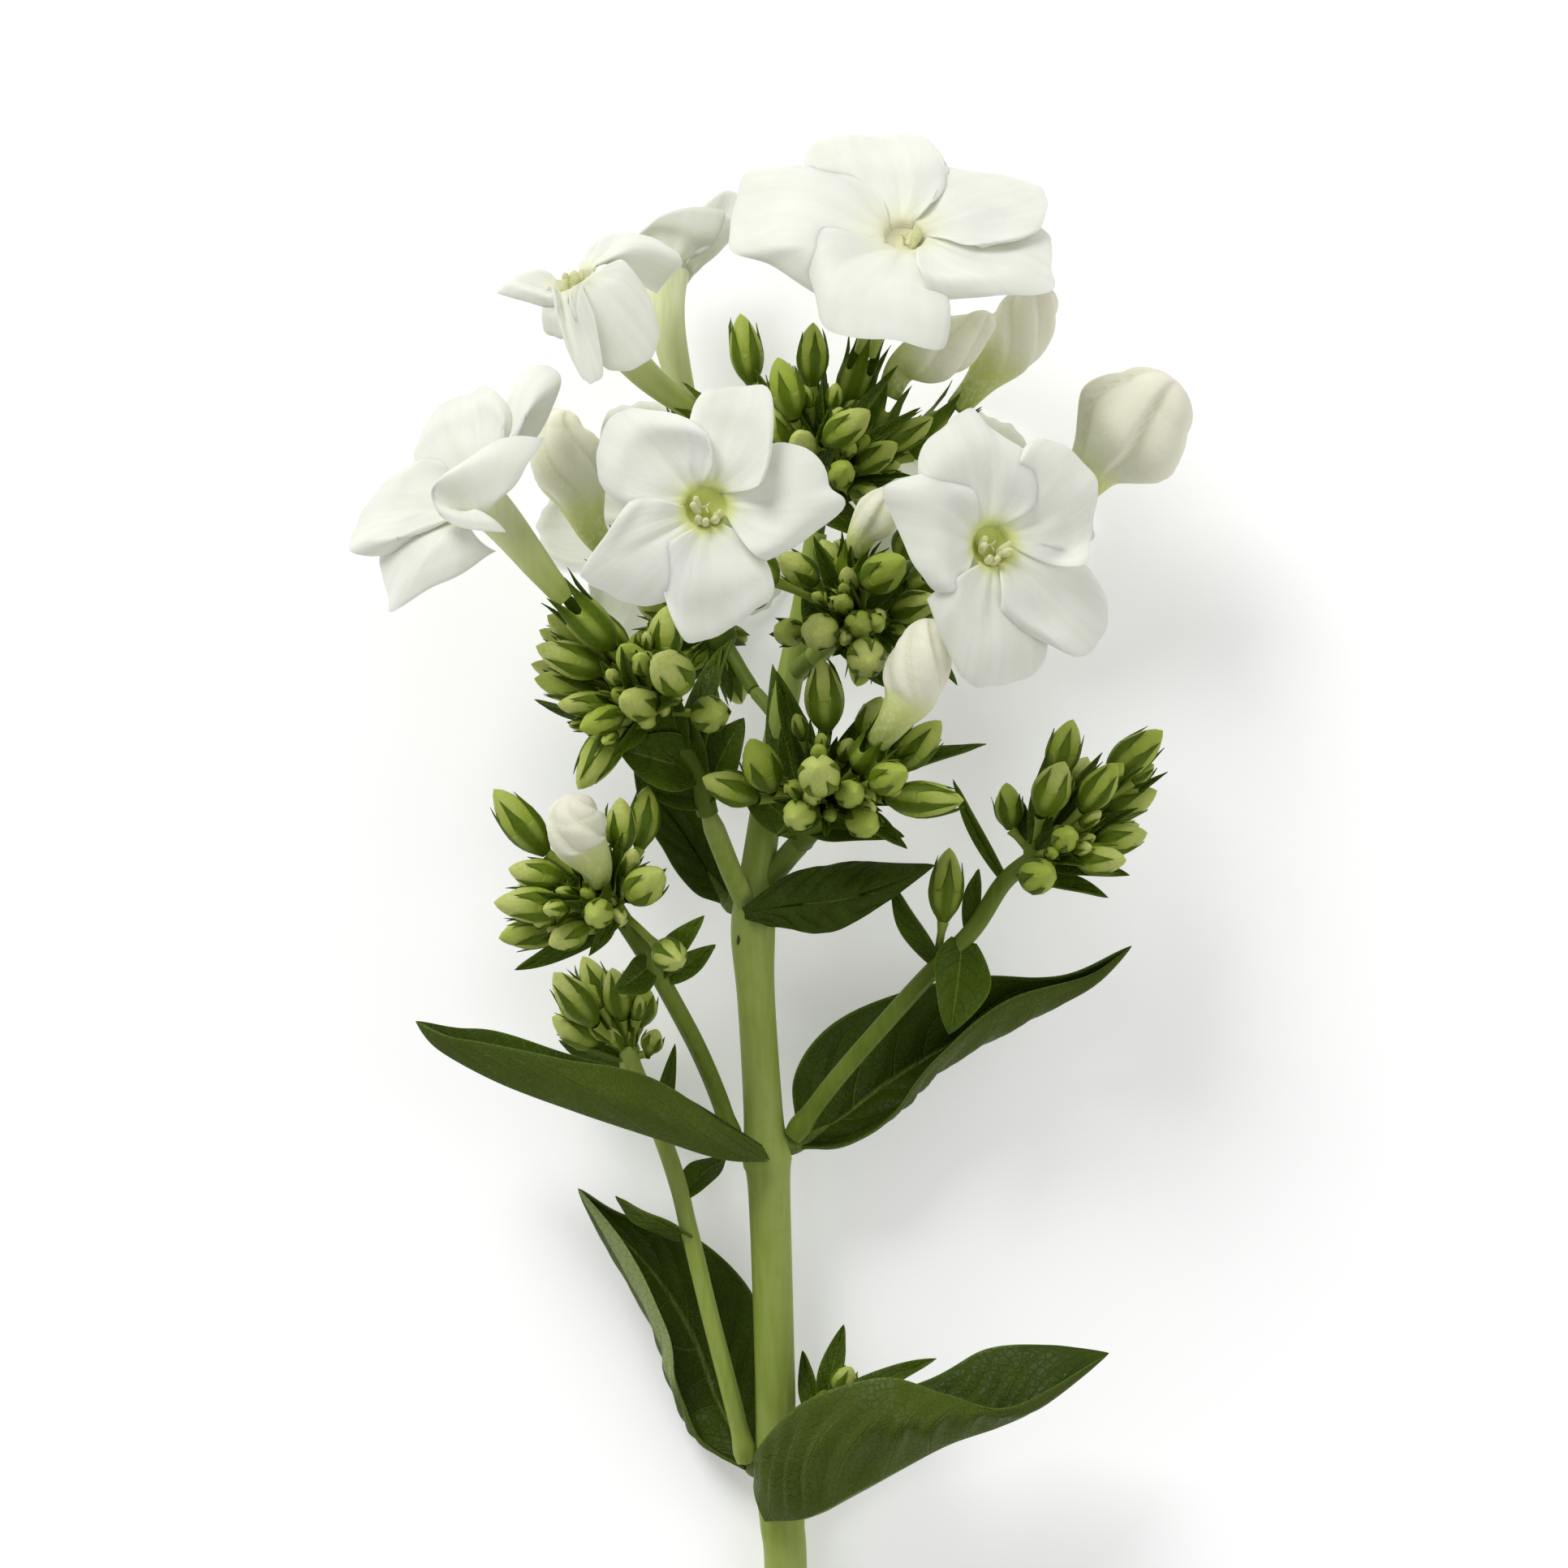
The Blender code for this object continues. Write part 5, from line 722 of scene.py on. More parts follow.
def add_cup(skin, foot, way, side, profile, sinus, tooth, spike, flare, seed, fine=1.0):
    """A calyx: a ribbed cup whose rim rises in five narrow teeth, then turns in and goes back down.

    profile gives its radius at a height above foot, sinus is the height of the notches between the
    teeth, tooth is how far the teeth rise above that, spike is how narrow they are, and flare is how
    far their tips lean out.
    """
    turn = turns(PETALS * round(CALYX_SIDES * fine / PETALS))
    ring = np.cos(turn)[:, None] * side + np.sin(turn)[:, None] * np.cross(way, side)
    rib = 0.5 + 0.5 * np.cos(PETALS * turn)
    lengths = 1 + 0.12 * np.sin(turn + 5 * seed) + 0.06 * np.sin(2 * turn + 3 * seed)
    top = sinus + tooth * rib ** spike * lengths
    sharp = np.maximum(np.cos(PETALS * turn), 0) ** 3
    outside = [(s, 0.0) for s in np.linspace(0, 1, round(CALYX_ROWS * fine))]
    steps = outside + CALYX_INSIDE
    rows = []
    for s, inset in steps:
        height = s * top
        over = np.clip((height - sinus) / tooth, 0, 1)
        radius = profile(height) - inset + 0.10 * sharp * smoothstep(s, 0.05, 0.4)
        radius = radius + flare * over ** 3
        rows.append(foot + way * height[:, None] + ring * radius[:, None])
    marks = np.array([s for s, _ in steps])[:, None]
    skin.ring_grid(np.array(rows), along=marks, rib=rib[None], seed=seed)


def add_pedicel(skin, hub, foot, seed):
    """The thin stalk from a hub to the foot of a bud or calyx, bowed a little and thicker at its end."""
    way = foot - hub
    sag = side_of(way, (0.0, 0.3, -1.0)) * 0.04 * np.linalg.norm(way)
    s = np.linspace(0.0, 1, 9)[:, None]
    path = hub + way * s + sag * np.sin(math.pi * s)
    radius = PEDICEL_RADIUS * (1.0 + 0.5 * smoothstep(s[:, 0], 0.75, 1.0))
    sweep(skin, path, radius, 12, closed=False, seed=seed)


def cup_axis(green, hub, foot, top, seed):
    """Adds the stalk of a bud or calyx from hub to foot; gives its foot, way, length and side."""
    root, foot, top = place(*hub), place(*foot), place(*top)
    way = top - foot
    length = np.linalg.norm(way)
    way = way / length
    add_pedicel(green, root, foot, seed)
    return foot, way, length, side_of(way, (chance(seed, 1) - 0.5, 1.0, chance(seed, 2) - 0.5))


def add_bud(green, tips, hub, tip, base, radius, seed, fine=1.0):
    """A closed bud: a pale spindle of wound petals, held by the narrow green teeth of its calyx."""
    foot, way, length, side = cup_axis(green, hub, base, tip, seed)
    widest = radius * (0.86 + 0.1 * chance(seed, 3))

    def body(height):
        h = np.clip(height / length, 0, 1)
        return widest * np.sin(math.pi * h ** 0.85) ** 0.7

    def outside(height):
        return np.maximum(body(height) + 0.06, 0.55 * (1 - height / length) + 0.1)

    sinus = length * (0.36 + 0.10 * chance(seed, 4))
    tooth = length * (0.35 + 0.16 * chance(seed, 5))
    flare = 0.25 + 0.6 * chance(seed, 6)
    add_cup(green, foot, way, side, outside, sinus, tooth, 3.2, flare, seed, fine)
    s = np.linspace(0, 1, round(15 * fine))
    height = length * (0.1 + 0.9 * s)
    twist = 1.4 + 0.8 * chance(seed, 7)
    wound = (PETALS * (turns(PETALS * round(6 * fine))[None] / TURN) + twist * s[:, None]) % 1.0
    ridge = 0.10 * (wound ** 1.5 - 0.4) * smoothstep(s, 0.3, 0.7)[:, None]
    marks = np.vstack([wound[:1], wound, wound[-1:]])
    sweep(tips, foot + way * height[:, None], body(height)[:, None] * (1 + ridge), rib=marks, seed=seed)


def add_calyx(green, hub, mouth, base, radius, seed):
    """The calyx of an open flower or opening bud, with long pointed teeth along the tube."""
    foot, way, length, side = cup_axis(green, hub, base, mouth, seed)

    def outside(height):
        return np.interp(height / length, CALYX_MARKS, radius * np.array(CALYX_SHAPE))

    add_cup(green, foot, way, side, outside, length * 0.72, 0.30 * length + 2.2, 2.0, 0.5, seed)


def add_young(green, tips, bracts, hub, buds, seed):
    """Small young buds and narrow leaflets, close to the hub between the directions of its buds."""
    centre = place(*hub)
    root = unplace(centre)
    tops = [place(*tip) - centre for tip, _, _ in buds]
    for k in range(2 * len(tops)):
        first, second = tops[k % len(tops)], tops[(k + 2 + k // len(tops)) % len(tops)]
        way = first + second * (0.5 + 0.9 * chance(seed, k))
        reach = min(np.linalg.norm(way) * 0.6, np.linalg.norm(first))
        if reach < 3.0:
            continue
        way = unit(way)
        size = 0.8 + 0.7 * chance(seed, k, 3)
        top = reach * (0.62 + 0.26 * chance(seed, k, 2))
        foot, tip = centre + way * max(top - 3.0 * size, 1.4), centre + way * top
        add_bud(green, tips, root, unplace(tip), unplace(foot), size, seed + 0.11 * k, 0.6)
        bend = side_of(way, (chance(seed, k, 6) - 0.5, chance(seed, k, 7) - 0.5, -0.2))
        leaf = centre + way * reach * (0.7 + 0.2 * chance(seed, k, 8)) + bend * 2.2
        line = [root, unplace(centre + way * 0.5)]
        add_bract(bracts, line, root, unplace(leaf), 2.4, 20, seed + 0.17 * k, 0.5)


def nearest_on(stalk, point):
    """The point nearest to point on the smooth line of a stalk."""
    line = curve_seen(stalk, 60)
    return line[np.argmin(np.linalg.norm(line - point, axis=1))]


def add_bract(skin, stalk, base, tip, width, turn, seed, fine=1.0):
    """A small pointed leaf on a stalk, arched along its length and folded along its midrib."""
    start, end = nearest_on(stalk, place(*base)), place(*tip)
    way = unit(end - start)
    side = side_of(way, (way[1], -way[0], 0.15))
    up = np.cross(side, way)
    spin = math.radians(turn)
    side, up = swung(spin, side, up), math.cos(spin) * up - math.sin(spin) * side
    length = np.linalg.norm(end - start)
    t, u = blade_grid(round(24 * fine), round(14 * fine))
    swell = np.sin(math.pi * np.clip(0.10 + 0.90 * t, 0, 1) ** 0.9) ** 0.85
    half = np.maximum(0.5 * width * swell, 0.02 + 0.5 * (1 - t) * 0.6)
    arch = 0.05 * length * np.sin(math.pi * t) * (0.4 + chance(seed, 8))
    fold = (0.30 + 0.25 * chance(seed, 9)) * half * np.abs(u) ** 1.3
    wave = 0.05 * width * np.sin(9 * t + 5 * chance(seed, 10)) * u ** 2
    groove = -0.10 * np.exp(-(u / 0.12) ** 2)
    rise = arch + fold + wave + groove
    grid = start + (end - start) * t[..., None] + side * (half * u)[..., None] + up * rise[..., None]
    add_sheet(skin, grid, BRACT_THICK, seed=seed, phase=5.0 * t - 1.6 * np.abs(u) ** 1.2)


def add_leaf(skin, rails, upper, veins, quilt, seed):
    """A large leaf through rails from base to tip, its midrib and side veins sunk in its upper face."""
    curves = [curve_seen(rail, LEAF_ROWS) for rail in rails]
    grid = smooth_curve(curves, LEAF_COLUMNS).transpose(1, 0, 2)
    t, u = blade_grid(LEAF_ROWS, LEAF_COLUMNS)
    uneven = 0.16 * np.sin(11 * t + seed) + 0.12 * np.sin(23 * t + 3 * seed + 2 * u)
    phase = veins * t - 0.30 * veins * np.abs(u) ** 1.3 + 0.45 * (u > 0) + uneven
    bulge = 0.5 - 0.5 * np.cos(TURN * phase)
    inside = smoothstep(np.abs(u), 0.02, 0.25) * (1 - smoothstep(np.abs(u), 0.75, 1.0))
    ends = smoothstep(t, 0.02, 0.2) * (1 - smoothstep(t, 0.45, 0.9))
    midrib = 0.35 * np.exp(-(u / 0.07) ** 2) * (1 - smoothstep(t, 0.8, 1))
    relief = quilt * bulge * inside * ends - midrib
    ripple = 0.16 * np.sin(13 * t + 3 * seed) + 0.12 * np.sin(29 * t + 7 * seed + 2 * u)
    relief = relief + ripple * np.abs(u) ** 3 * ends
    grid = grid + normals(grid) * upper * relief[..., None]
    add_sheet(skin, grid, LEAF_THICK, seed=seed, upper=upper, phase=phase, margin=0.05)


def add_petiole(skin, rails, seed):
    """The short thick foot of a leaf, from within the stem to the start of its midrib."""
    midrib = [place(*p) for p in rails[len(rails) // 2][:2]]
    core = nearest_on([row[:3] for row in STEM_LINE], midrib[0])
    onward = midrib[0] + unit(midrib[1] - midrib[0]) * PETIOLE_REACH
    path = smooth_curve([core, 0.4 * core + 0.6 * midrib[0], midrib[0], onward], 24)
    radii = np.interp(np.linspace(0, 1, 24), PETIOLE_MARKS, PETIOLE_RADII)
    sweep(skin, above_floor(path, 1.0), radii, sides=20, seed=seed, along=0.5)


def crease_on(t, u, middle, narrow, wide, end):
    """The grooves of a petal, from its throat to about half way: one in the middle and two beside it."""
    crease = middle * np.exp(-(u / narrow) ** 2) + 0.12 * np.exp(-((np.abs(u) - 0.45) / wide) ** 2)
    return crease * smoothstep(t, 0.0, 0.12) * (1 - smoothstep(t, 0.3, end))


def back_petal(phase):
    """A petal that the photo doesn't show, in its own frame: x clockwise, y outwards, z to the front.

    It starts as a short neck down in the throat, spreads at once to nearly its full width, and ends
    in a blunt, slightly uneven edge, whose sides curl back.
    """
    v, u = blade_grid(PETAL_ROWS, PETAL_COLUMNS, -PETAL_NECK)
    t = np.maximum(v, 0)
    neck = np.maximum(-v, 0) / PETAL_NECK
    uneven = 0.018 * np.sin(7 * u + 2.3 * phase) + 0.010 * np.sin(16 * u + 1.1 * phase)
    reach = BACK_LENGTH * (1 + 0.10 * u - 0.20 * np.abs(u) ** 3 + uneven)
    opening, closing = math.radians(BACK_RISE), math.radians(BACK_DROOP)
    steps = 48
    marks = np.linspace(0, 1, steps + 1)
    s = (np.arange(steps) + 0.5) / steps
    heading = opening + (closing - opening) * s ** 1.2
    out, lift = (np.concatenate([[0], np.cumsum(part(heading))]) / steps for part in (np.cos, np.sin))
    spread = math.radians(PETAL_STEP / 2)
    root_x = THROAT_RADIUS * np.sin(spread * u) * 1.05
    root_y = THROAT_RADIUS * np.cos(spread * u)
    rising = np.sin(0.5 * math.pi * np.clip(t / 0.50, 0, 1)) ** 1.1
    falling = 1 - 0.26 * np.clip((t - 0.66) / (1 - 0.66), 0, 1) ** 2.4
    wide = (BACK_HALF_WIDTH - THROAT_RADIUS * math.sin(spread)) * rising * falling * u
    start = np.clip(t / 0.2, 0, 1)
    lean = math.radians(BACK_PINWHEEL) * start
    x = root_x * (1 - 0.16 * neck) + wide * np.cos(lean)
    y = root_y * (1 - 0.16 * neck) + (THROAT_RADIUS - root_y) * np.clip(t * 2, 0, 1)
    y = y + np.interp(t, marks, out) * reach
    z = np.interp(t, marks, lift) * reach - 1.5 * neck ** 1.2 + (root_x * start + wide) * np.sin(lean)
    z = z + 0.1 * np.sin(TURN * (0.75 * t + 0.3 * u) + phase) * smoothstep(t, 0.15, 0.8)
    outer = smoothstep(t, 0.25, 0.85)
    z = z - 2.2 * np.clip(-u - 0.25, 0, 1) ** 2 * outer
    z = z - 1.2 * np.clip(u - 0.25, 0, 1) ** 2 * outer
    z = z - smoothstep(t, 0.62, 1.0) ** 1.6
    return x, y, z - crease_on(t, u, 0.30, 0.09, 0.12, 0.75)


def blend(start, middle, end, t):
    """A curve that leaves start towards middle and comes to end."""
    return (1 - t) ** 2 * start + 2 * t * (1 - t) * middle + t ** 2 * end


def traced_petal(petal, throat, front, slope, bent, phase):
    """The points of a petal whose edge follows the one seen. bent is set for a face nearly side on."""
    edge, depth, (left, right, tip) = petal
    xs, ys = edge[::2], edge[1::2]
    flat = unplace(throat)
    corners = []
    for x, y, deep in zip(xs, ys, np.interp(np.linspace(0, 1, len(xs)), (0, 0.5, 1), depth)):
        x, y = (x - PICTURE_MIDDLE) / 10, (PICTURE_FOOT - y) / 10
        fall = (slope[0] * (x - flat[0]) + slope[1] * (y - flat[1])) / slope[2]
        corners.append(place(x, y, throat[2] - fall + deep))
    rim = smooth_curve(corners, PETAL_COLUMNS) - throat
    v, u = blade_grid(PETAL_ROWS, PETAL_COLUMNS, -PETAL_NECK)
    w = u[0]
    uneven = 0.010 * np.sin(9 * w + 2.3 * phase) + 0.006 * np.sin(21 * w + 1.1 * phase)
    rim = rim * (1 + uneven * (1 - w ** 2))[:, None]
    middle = rim[PETAL_COLUMNS // 4:-PETAL_COLUMNS // 4].mean(axis=0)
    out = unit(middle - front * (middle @ front))
    across = np.cross(front, out)
    if (rim[-1] - rim[0]) @ across < 0:
        across = -across
    end_x, end_y, end_z = rim @ across, rim @ out, rim @ front
    spread = math.radians(PETAL_STEP / 2) * 1.06
    t = np.maximum(v, 0)
    neck = np.maximum(-v, 0) / PETAL_NECK
    root_x = THROAT_RADIUS * np.sin(spread * u) * (1 - 0.16 * neck)
    root_y = THROAT_RADIUS * np.cos(spread * u) * (1 - 0.16 * neck)
    reach = math.sqrt(middle @ middle)
    knee_y = root_y + 0.42 * (end_y - root_y)
    if bent:
        knee_y = np.maximum(knee_y, min(4.5, 0.4 * reach))
    x = blend(root_x, (1.14 - 0.22 * np.abs(u) ** 3) * end_x, end_x, t)
    y = blend(root_y, knee_y, end_y, t)
    z = blend(-0.9 * neck ** 1.2, 0.35 * end_z + 0.14 * reach, end_z, t)
    z = z + 0.28 * u * smoothstep(t, -0.05, 0.10)
    outer = smoothstep(t, 0.25, 0.9)
    z = z + left * (np.clip(-u - 0.3, 0, 1) / 0.7) ** 2 * outer
    z = z + right * (np.clip(u - 0.3, 0, 1) / 0.7) ** 2 * outer
    z = z + tip * smoothstep(t, 0.66, 1.0) ** 1.5
    z = z + 0.85 * np.sin(TURN * (0.6 * t + 0.36 * u) + phase) * smoothstep(t, 0.15, 0.7)
    z = z + 0.30 * np.sin(TURN * (1.1 * u - 0.3 * t) + 2 * phase) * smoothstep(t, 0.35, 1.0)
    z = z - crease_on(t, u, 0.34, 0.10, 0.14, 0.8)
    return throat + across * x[..., None] + out * y[..., None] + front * z[..., None]


def face_of(flower):
    """An open flower's throat, the way it faces, and what is up and right on its face."""
    front = unit(np.array(flower.facing, float))
    up = side_of(front)
    return place(*flower.throat), front, up, np.cross(up, front)


def add_flower(petals, tube, flower, edges, slope, seed):
    """An open flower: five petals that lie over each other like a pinwheel, its throat and its tube."""
    throat, front, up, right = face_of(flower)
    for i in range(PETALS):
        phase = 1.7 * i + 2.9 * seed
        if edges:
            grid = traced_petal(edges[i], throat, front, slope or front, slope, phase)
        else:
            x, y, z = back_petal(phase)
            angle = math.radians(flower.roll + i * PETAL_STEP)
            out, clock = swung(angle, up, right), swung(angle, right, -up)
            grid = throat + out * y[..., None] + clock * x[..., None] + front * z[..., None]
        add_sheet(petals, grid, PETAL_THICK, seed=seed + 0.13 * i, margin=0.06, start=-PETAL_NECK)
    add_tube(tube, flower, throat, front, up, seed)


def add_tube(tube, flower, throat, front, up, seed):
    """A flower's tube, from its foot in the calyx up to the throat and down inside as a funnel."""
    mouth = place(*flower.mouth)
    path = tube_path(throat, front, mouth, unit(mouth - place(*flower.base)))[::-1]
    s = np.linspace(0, 1, len(path))
    radii = np.interp(s, np.linspace(0, 1, len(TUBE_RADII)), TUBE_RADII[::-1])
    turn = turns(TUBE_SIDES)
    ribs = 1 + 0.035 * np.cos(PETALS * turn)[None] * smoothstep(s, 0.1, 0.4)[:, None]
    ring = rings_along(path, turn, up)
    wall = path[:, None] + (radii[:, None] * ribs)[..., None] * ring
    span = np.linalg.norm(np.diff(path, axis=0), axis=1).mean()
    inner = []
    for depth, radius in zip(FUNNEL_DEPTHS, FUNNEL_RADII):
        centre = interpolate(path[::-1], depth / span / (len(path) - 1))
        inner.append(centre + ring[-1] * radius)
    inner.append(np.repeat(inner[-1].mean(axis=0)[None], TUBE_SIDES, axis=0))
    outside = s * (0.6 - flower.pale) + flower.pale
    along = np.concatenate([outside, np.linspace(0.7, 1.0, len(inner))])[:, None]
    rib = 0.5 + 0.5 * np.cos(PETALS * turn)[None]
    tube.ring_grid(np.concatenate([wall, np.array(inner)]), along=along, rib=rib, seed=seed)


def interpolate(path, share):
    """The point that share of the way along a path of evenly spaced points."""
    at = share * (len(path) - 1)
    low = min(int(at), len(path) - 2)
    return path[low] + (path[low + 1] - path[low]) * (at - low)


def tube_path(throat, front, mouth, foot_way, count=40):
    """The middle line of a flower's tube, from the throat down to its foot in the calyx."""
    span = np.linalg.norm(throat - mouth)
    a, b, c, d = throat, throat - front * span * 0.4, mouth + foot_way * span * 0.3, mouth
    f = np.linspace(0, 1, count)[:, None]
    g = 1 - f
    return g ** 3 * a + 3 * g * g * f * b + 3 * g * f * f * c + f ** 3 * d


def add_stamens(skin, flower, seed):
    """Two-lobed anthers on short threads, and a three-lobed stigma, in the mouth of a flower."""
    throat, front, up, right = face_of(flower)
    middle = throat - up * 1.0
    for k in range(flower.anthers):
        turn = math.radians(flower.roll + 100 + 100 * k + 50 * (chance(seed, k) - 0.5))
        out = swung(turn, up, right)
        height = -0.6 + 0.9 * chance(seed, k, 4)
        low = throat - front * 1.2 + out * 1.6
        knee = middle + front * (height - 0.9) + out * (0.5 + 0.5 * chance(seed, k, 5))
        top = middle + front * (height + 1.2) + out * (1.2 + 0.6 * chance(seed, k, 7)) + up * 1.1
        thread = smooth_curve([low, 0.5 * (low + knee) + out * 0.1, knee], 8)
        sweep(skin, thread, np.full(8, 0.15), 8, seed=seed + k)
        across = np.cross(unit(top - knee), out)
        s = np.linspace(0, 1, 12)
        body = np.sqrt(np.clip(1 - (2 * s - 1) ** 2, 0, 1)) ** 0.7
        for lobe in (-1, 1):
            path = knee + (top - knee) * s[:, None] * 1.1 + across * 0.26 * lobe
            bow = out * (0.25 * np.sin(math.pi * s))[:, None]
            path = path + bow + across * (0.35 * lobe * s ** 2)[:, None]
            grain = 1 + 0.10 * np.sin(9 * s + 4 * lobe + k)
            sweep(skin, path, ANTHER_RADIUS * body * grain, 12, seed=seed + k + 0.3 * lobe)
    style, tip = throat - front * 1.45, throat - front * 0.5
    line = smooth_curve([style, 0.5 * (style + tip) + up * 0.1, tip], 8)
    sweep(skin, line, np.full(8, 0.18), 10, seed=seed)
    for k in range(3):
        out = swung(math.radians(120 * k + 40), up, right)
        ends = [tip - front * 0.1, tip + front * 0.45 + out * 0.3, tip + front * 0.6 + out * 0.75]
        sweep(skin, smooth_curve(ends, 8), 0.18 * np.linspace(1, 0.45, 8), 8, seed=seed + k)


def add_opening_bud(skin, bud, seed):
    """A swollen white bud: its tube, and five petals wound round each other, each edge a fold."""
    spans = len(bud.path) - 1
    known = [place(*p) for p in bud.path]
    foot_way = unit(known[0] - place(*bud.base))
    known[1] = 0.35 * known[1] + 0.65 * (known[0] + foot_way * np.linalg.norm(known[1] - known[0]))
    rows = 12 * spans
    s = np.linspace(0, 1, rows)
    radii = np.maximum(smooth_curve([[r] for r in bud.radii], rows)[:, 0], 0)
    end = np.clip(s * spans - (spans - 1), 0, 1)
    rounded = bud.radii[-2] * np.sqrt(1 - end ** 2.2) * (1 - 0.2 * end)
    radii = np.where(end > 0, rounded, radii)
    turn = turns(OPENING_SIDES)[None]
    twist = bud.twist / 360 * PETALS
    wound = (PETALS * turn / TURN + twist * s[:, None] + 0.3 * seed) % 1.0
    rising = smoothstep(s, 0.22, 0.5)[:, None]
    fold = 0.21 * (smoothstep(wound, 0, 0.7) * (1 - smoothstep(wound, 0.86, 1.0)) - 0.5) * rising
    skew = 0.05 * np.sin(turn * 2 + 5 * s[:, None] + seed)
    marks = np.vstack([wound[:1], wound, wound[-1:]])
    sweep(skin, smooth_curve(known, rows), radii[:, None] * (1 + fold + skew * rising), rib=marks, seed=seed)


class Recipe:
    """A material written node by node, ending in one Principled shader."""

    def __init__(self, name, roughness, **constants):
        self.material = bpy.data.materials.new(name)
        self.material.use_nodes = True
        self.tree = self.material.node_tree
        self.shader = self.tree.nodes["Principled BSDF"]
        for socket, value in dict(constants, Roughness=roughness).items():
            self.shader.inputs[socket.replace("_", " ")].default_value = value
        self.spot = self.node("ShaderNodeTexCoord").outputs["Object"]

    def node(self, kind, **settings):
        made = self.tree.nodes.new(kind)
        for key, value in settings.items():
            setattr(made, key, value)
        return made

    def feed(self, socket, value):
        if isinstance(value, bpy.types.NodeSocket):
            self.tree.links.new(value, socket)
        elif isinstance(value, tuple) and len(value) == 3:
            socket.default_value = (*value, 1.0) if len(socket.default_value) == 4 else value
        else:
            socket.default_value = value

    def number(self, name):
        return self.node("ShaderNodeAttribute", attribute_name=name).outputs["Fac"]

    def sum(self, operation, a, b=0.0):
        made = self.node("ShaderNodeMath", operation=operation)
        self.feed(made.inputs[0], a)
        self.feed(made.inputs[1], b)
        return made.outputs[0]

    def times(self, a, b):
        return self.sum("MULTIPLY", a, b)

    def plus(self, a, b):
        return self.sum("ADD", a, b)

    def apart(self, a, b):
        return self.sum("ABSOLUTE", self.sum("SUBTRACT", a, b))

    def step(self, value, low, high):
        """0 below low, 1 above high and smooth between, or the other way where low is higher."""
        made = self.node("ShaderNodeMapRange", interpolation_type="SMOOTHSTEP")
        flip = low > high
        limits = {"From Min": min(low, high), "From Max": max(low, high),
                  "To Min": 1.0 if flip else 0.0, "To Max": 0.0 if flip else 1.0}
        self.feed(made.inputs["Value"], value)
        for socket, limit in limits.items():
            self.feed(made.inputs[socket], limit)
        return made.outputs["Result"]

    def mix(self, share, a, b):
        made = self.node("ShaderNodeMix", data_type="RGBA")
        self.feed(made.inputs["Factor"], share)
        self.feed(made.inputs[6], a)
        self.feed(made.inputs[7], b)
        return made.outputs[2]

    def tint(self, tone, colour, share, value, low, high):
        """tone, turned towards colour by share at most, as value goes from low to high."""
        return self.mix(self.times(self.step(value, low, high), share), tone, colour)

    def noise(self, scale, detail, stretch=None, where=None):
        made = self.node("ShaderNodeTexNoise")
        self.feed(made.inputs["Scale"], scale)
        self.feed(made.inputs["Detail"], detail)
        spot = where or self.spot
        if stretch:
            spread = self.node("ShaderNodeMapping")
            spread.inputs["Scale"].default_value = stretch
            self.feed(spread.inputs["Vector"], spot)
            spot = spread.outputs[0]
        self.feed(made.inputs["Vector"], spot)
        return made.outputs["Fac"]

    def own(self, seed, row):
        """A random number that belongs to a seed."""
        return self.noise(1.0, 0.0, where=self.combine(seed, self.times(seed, 3.7), row))

    def combine(self, *values):
        made = self.node("ShaderNodeCombineXYZ")
        for socket, value in zip(made.inputs, values):
            self.feed(socket, value)
        return made.outputs[0]

    def finish(self, tone, height, depth):
        """Sets the colour, and relief whose height runs from 0 to 1 over depth metres."""
        made = self.node("ShaderNodeBump")
        made.inputs["Distance"].default_value = depth
        self.feed(made.inputs["Height"], height)
        self.feed(self.shader.inputs["Normal"], made.outputs["Normal"])
        self.feed(self.shader.inputs["Base Color"], tone)
        return self.material


def petal_material():
    """White petals: faint lengthwise veins, grey-green blotches of painted shade, and a yellow-green tinge
    where they enter the throat.
    """
    r = Recipe("petal_white", 0.55, Subsurface_Weight=0.3, Subsurface_Radius=(1.0, 1.0, 0.8),
               Subsurface_Scale=0.0010, Specular_IOR_Level=0.2)
    along, across, seed = r.number("along"), r.number("across"), r.number("seed")
    veins = r.noise(1.0, 5.0, where=r.combine(r.times(across, 9.0), r.times(along, 1.3), seed))
    white = r.mix(r.step(veins, 0.3, 0.7), (0.80, 0.82, 0.72), (0.85, 0.865, 0.78))
    # Painted shade: grey-green blotches, scattered by noise, darken the white in place of the petals' soft
    # shading.
    white = r.tint(white, (0.74, 0.765, 0.655), 0.5, r.noise(150.0, 2.0), 0.42, 0.72)
    ragged = r.plus(along, r.times(r.plus(veins, -0.5), 0.07))
    white = r.tint(white, (0.81, 0.83, 0.64), 0.8, ragged, 0.32, 0.06)
    green = r.times(r.step(seed, 0.55, 0.60), r.step(seed, 3.90, 3.80))
    inner = r.mix(green, (0.76, 0.75, 0.54), (0.67, 0.72, 0.26))
    white = r.mix(r.step(ragged, 0.13, -0.03), white, inner)
    line = r.step(r.apart(across, STREAK_ACROSS), 0.035, 0.0)
    line = r.times(line, r.step(r.apart(along, STREAK_ALONG), 0.16, 0.08))
    only = r.step(r.apart(seed, STREAK_PETAL), 0.02, 0.01)
    white = r.mix(r.times(r.times(line, only), 0.6), white, (0.52, 0.33, 0.50))
    cells = r.noise(2600.0, 2.0)
    return r.finish(white, r.plus(r.times(veins, 0.6), r.times(cells, 0.25)), 0.00010)


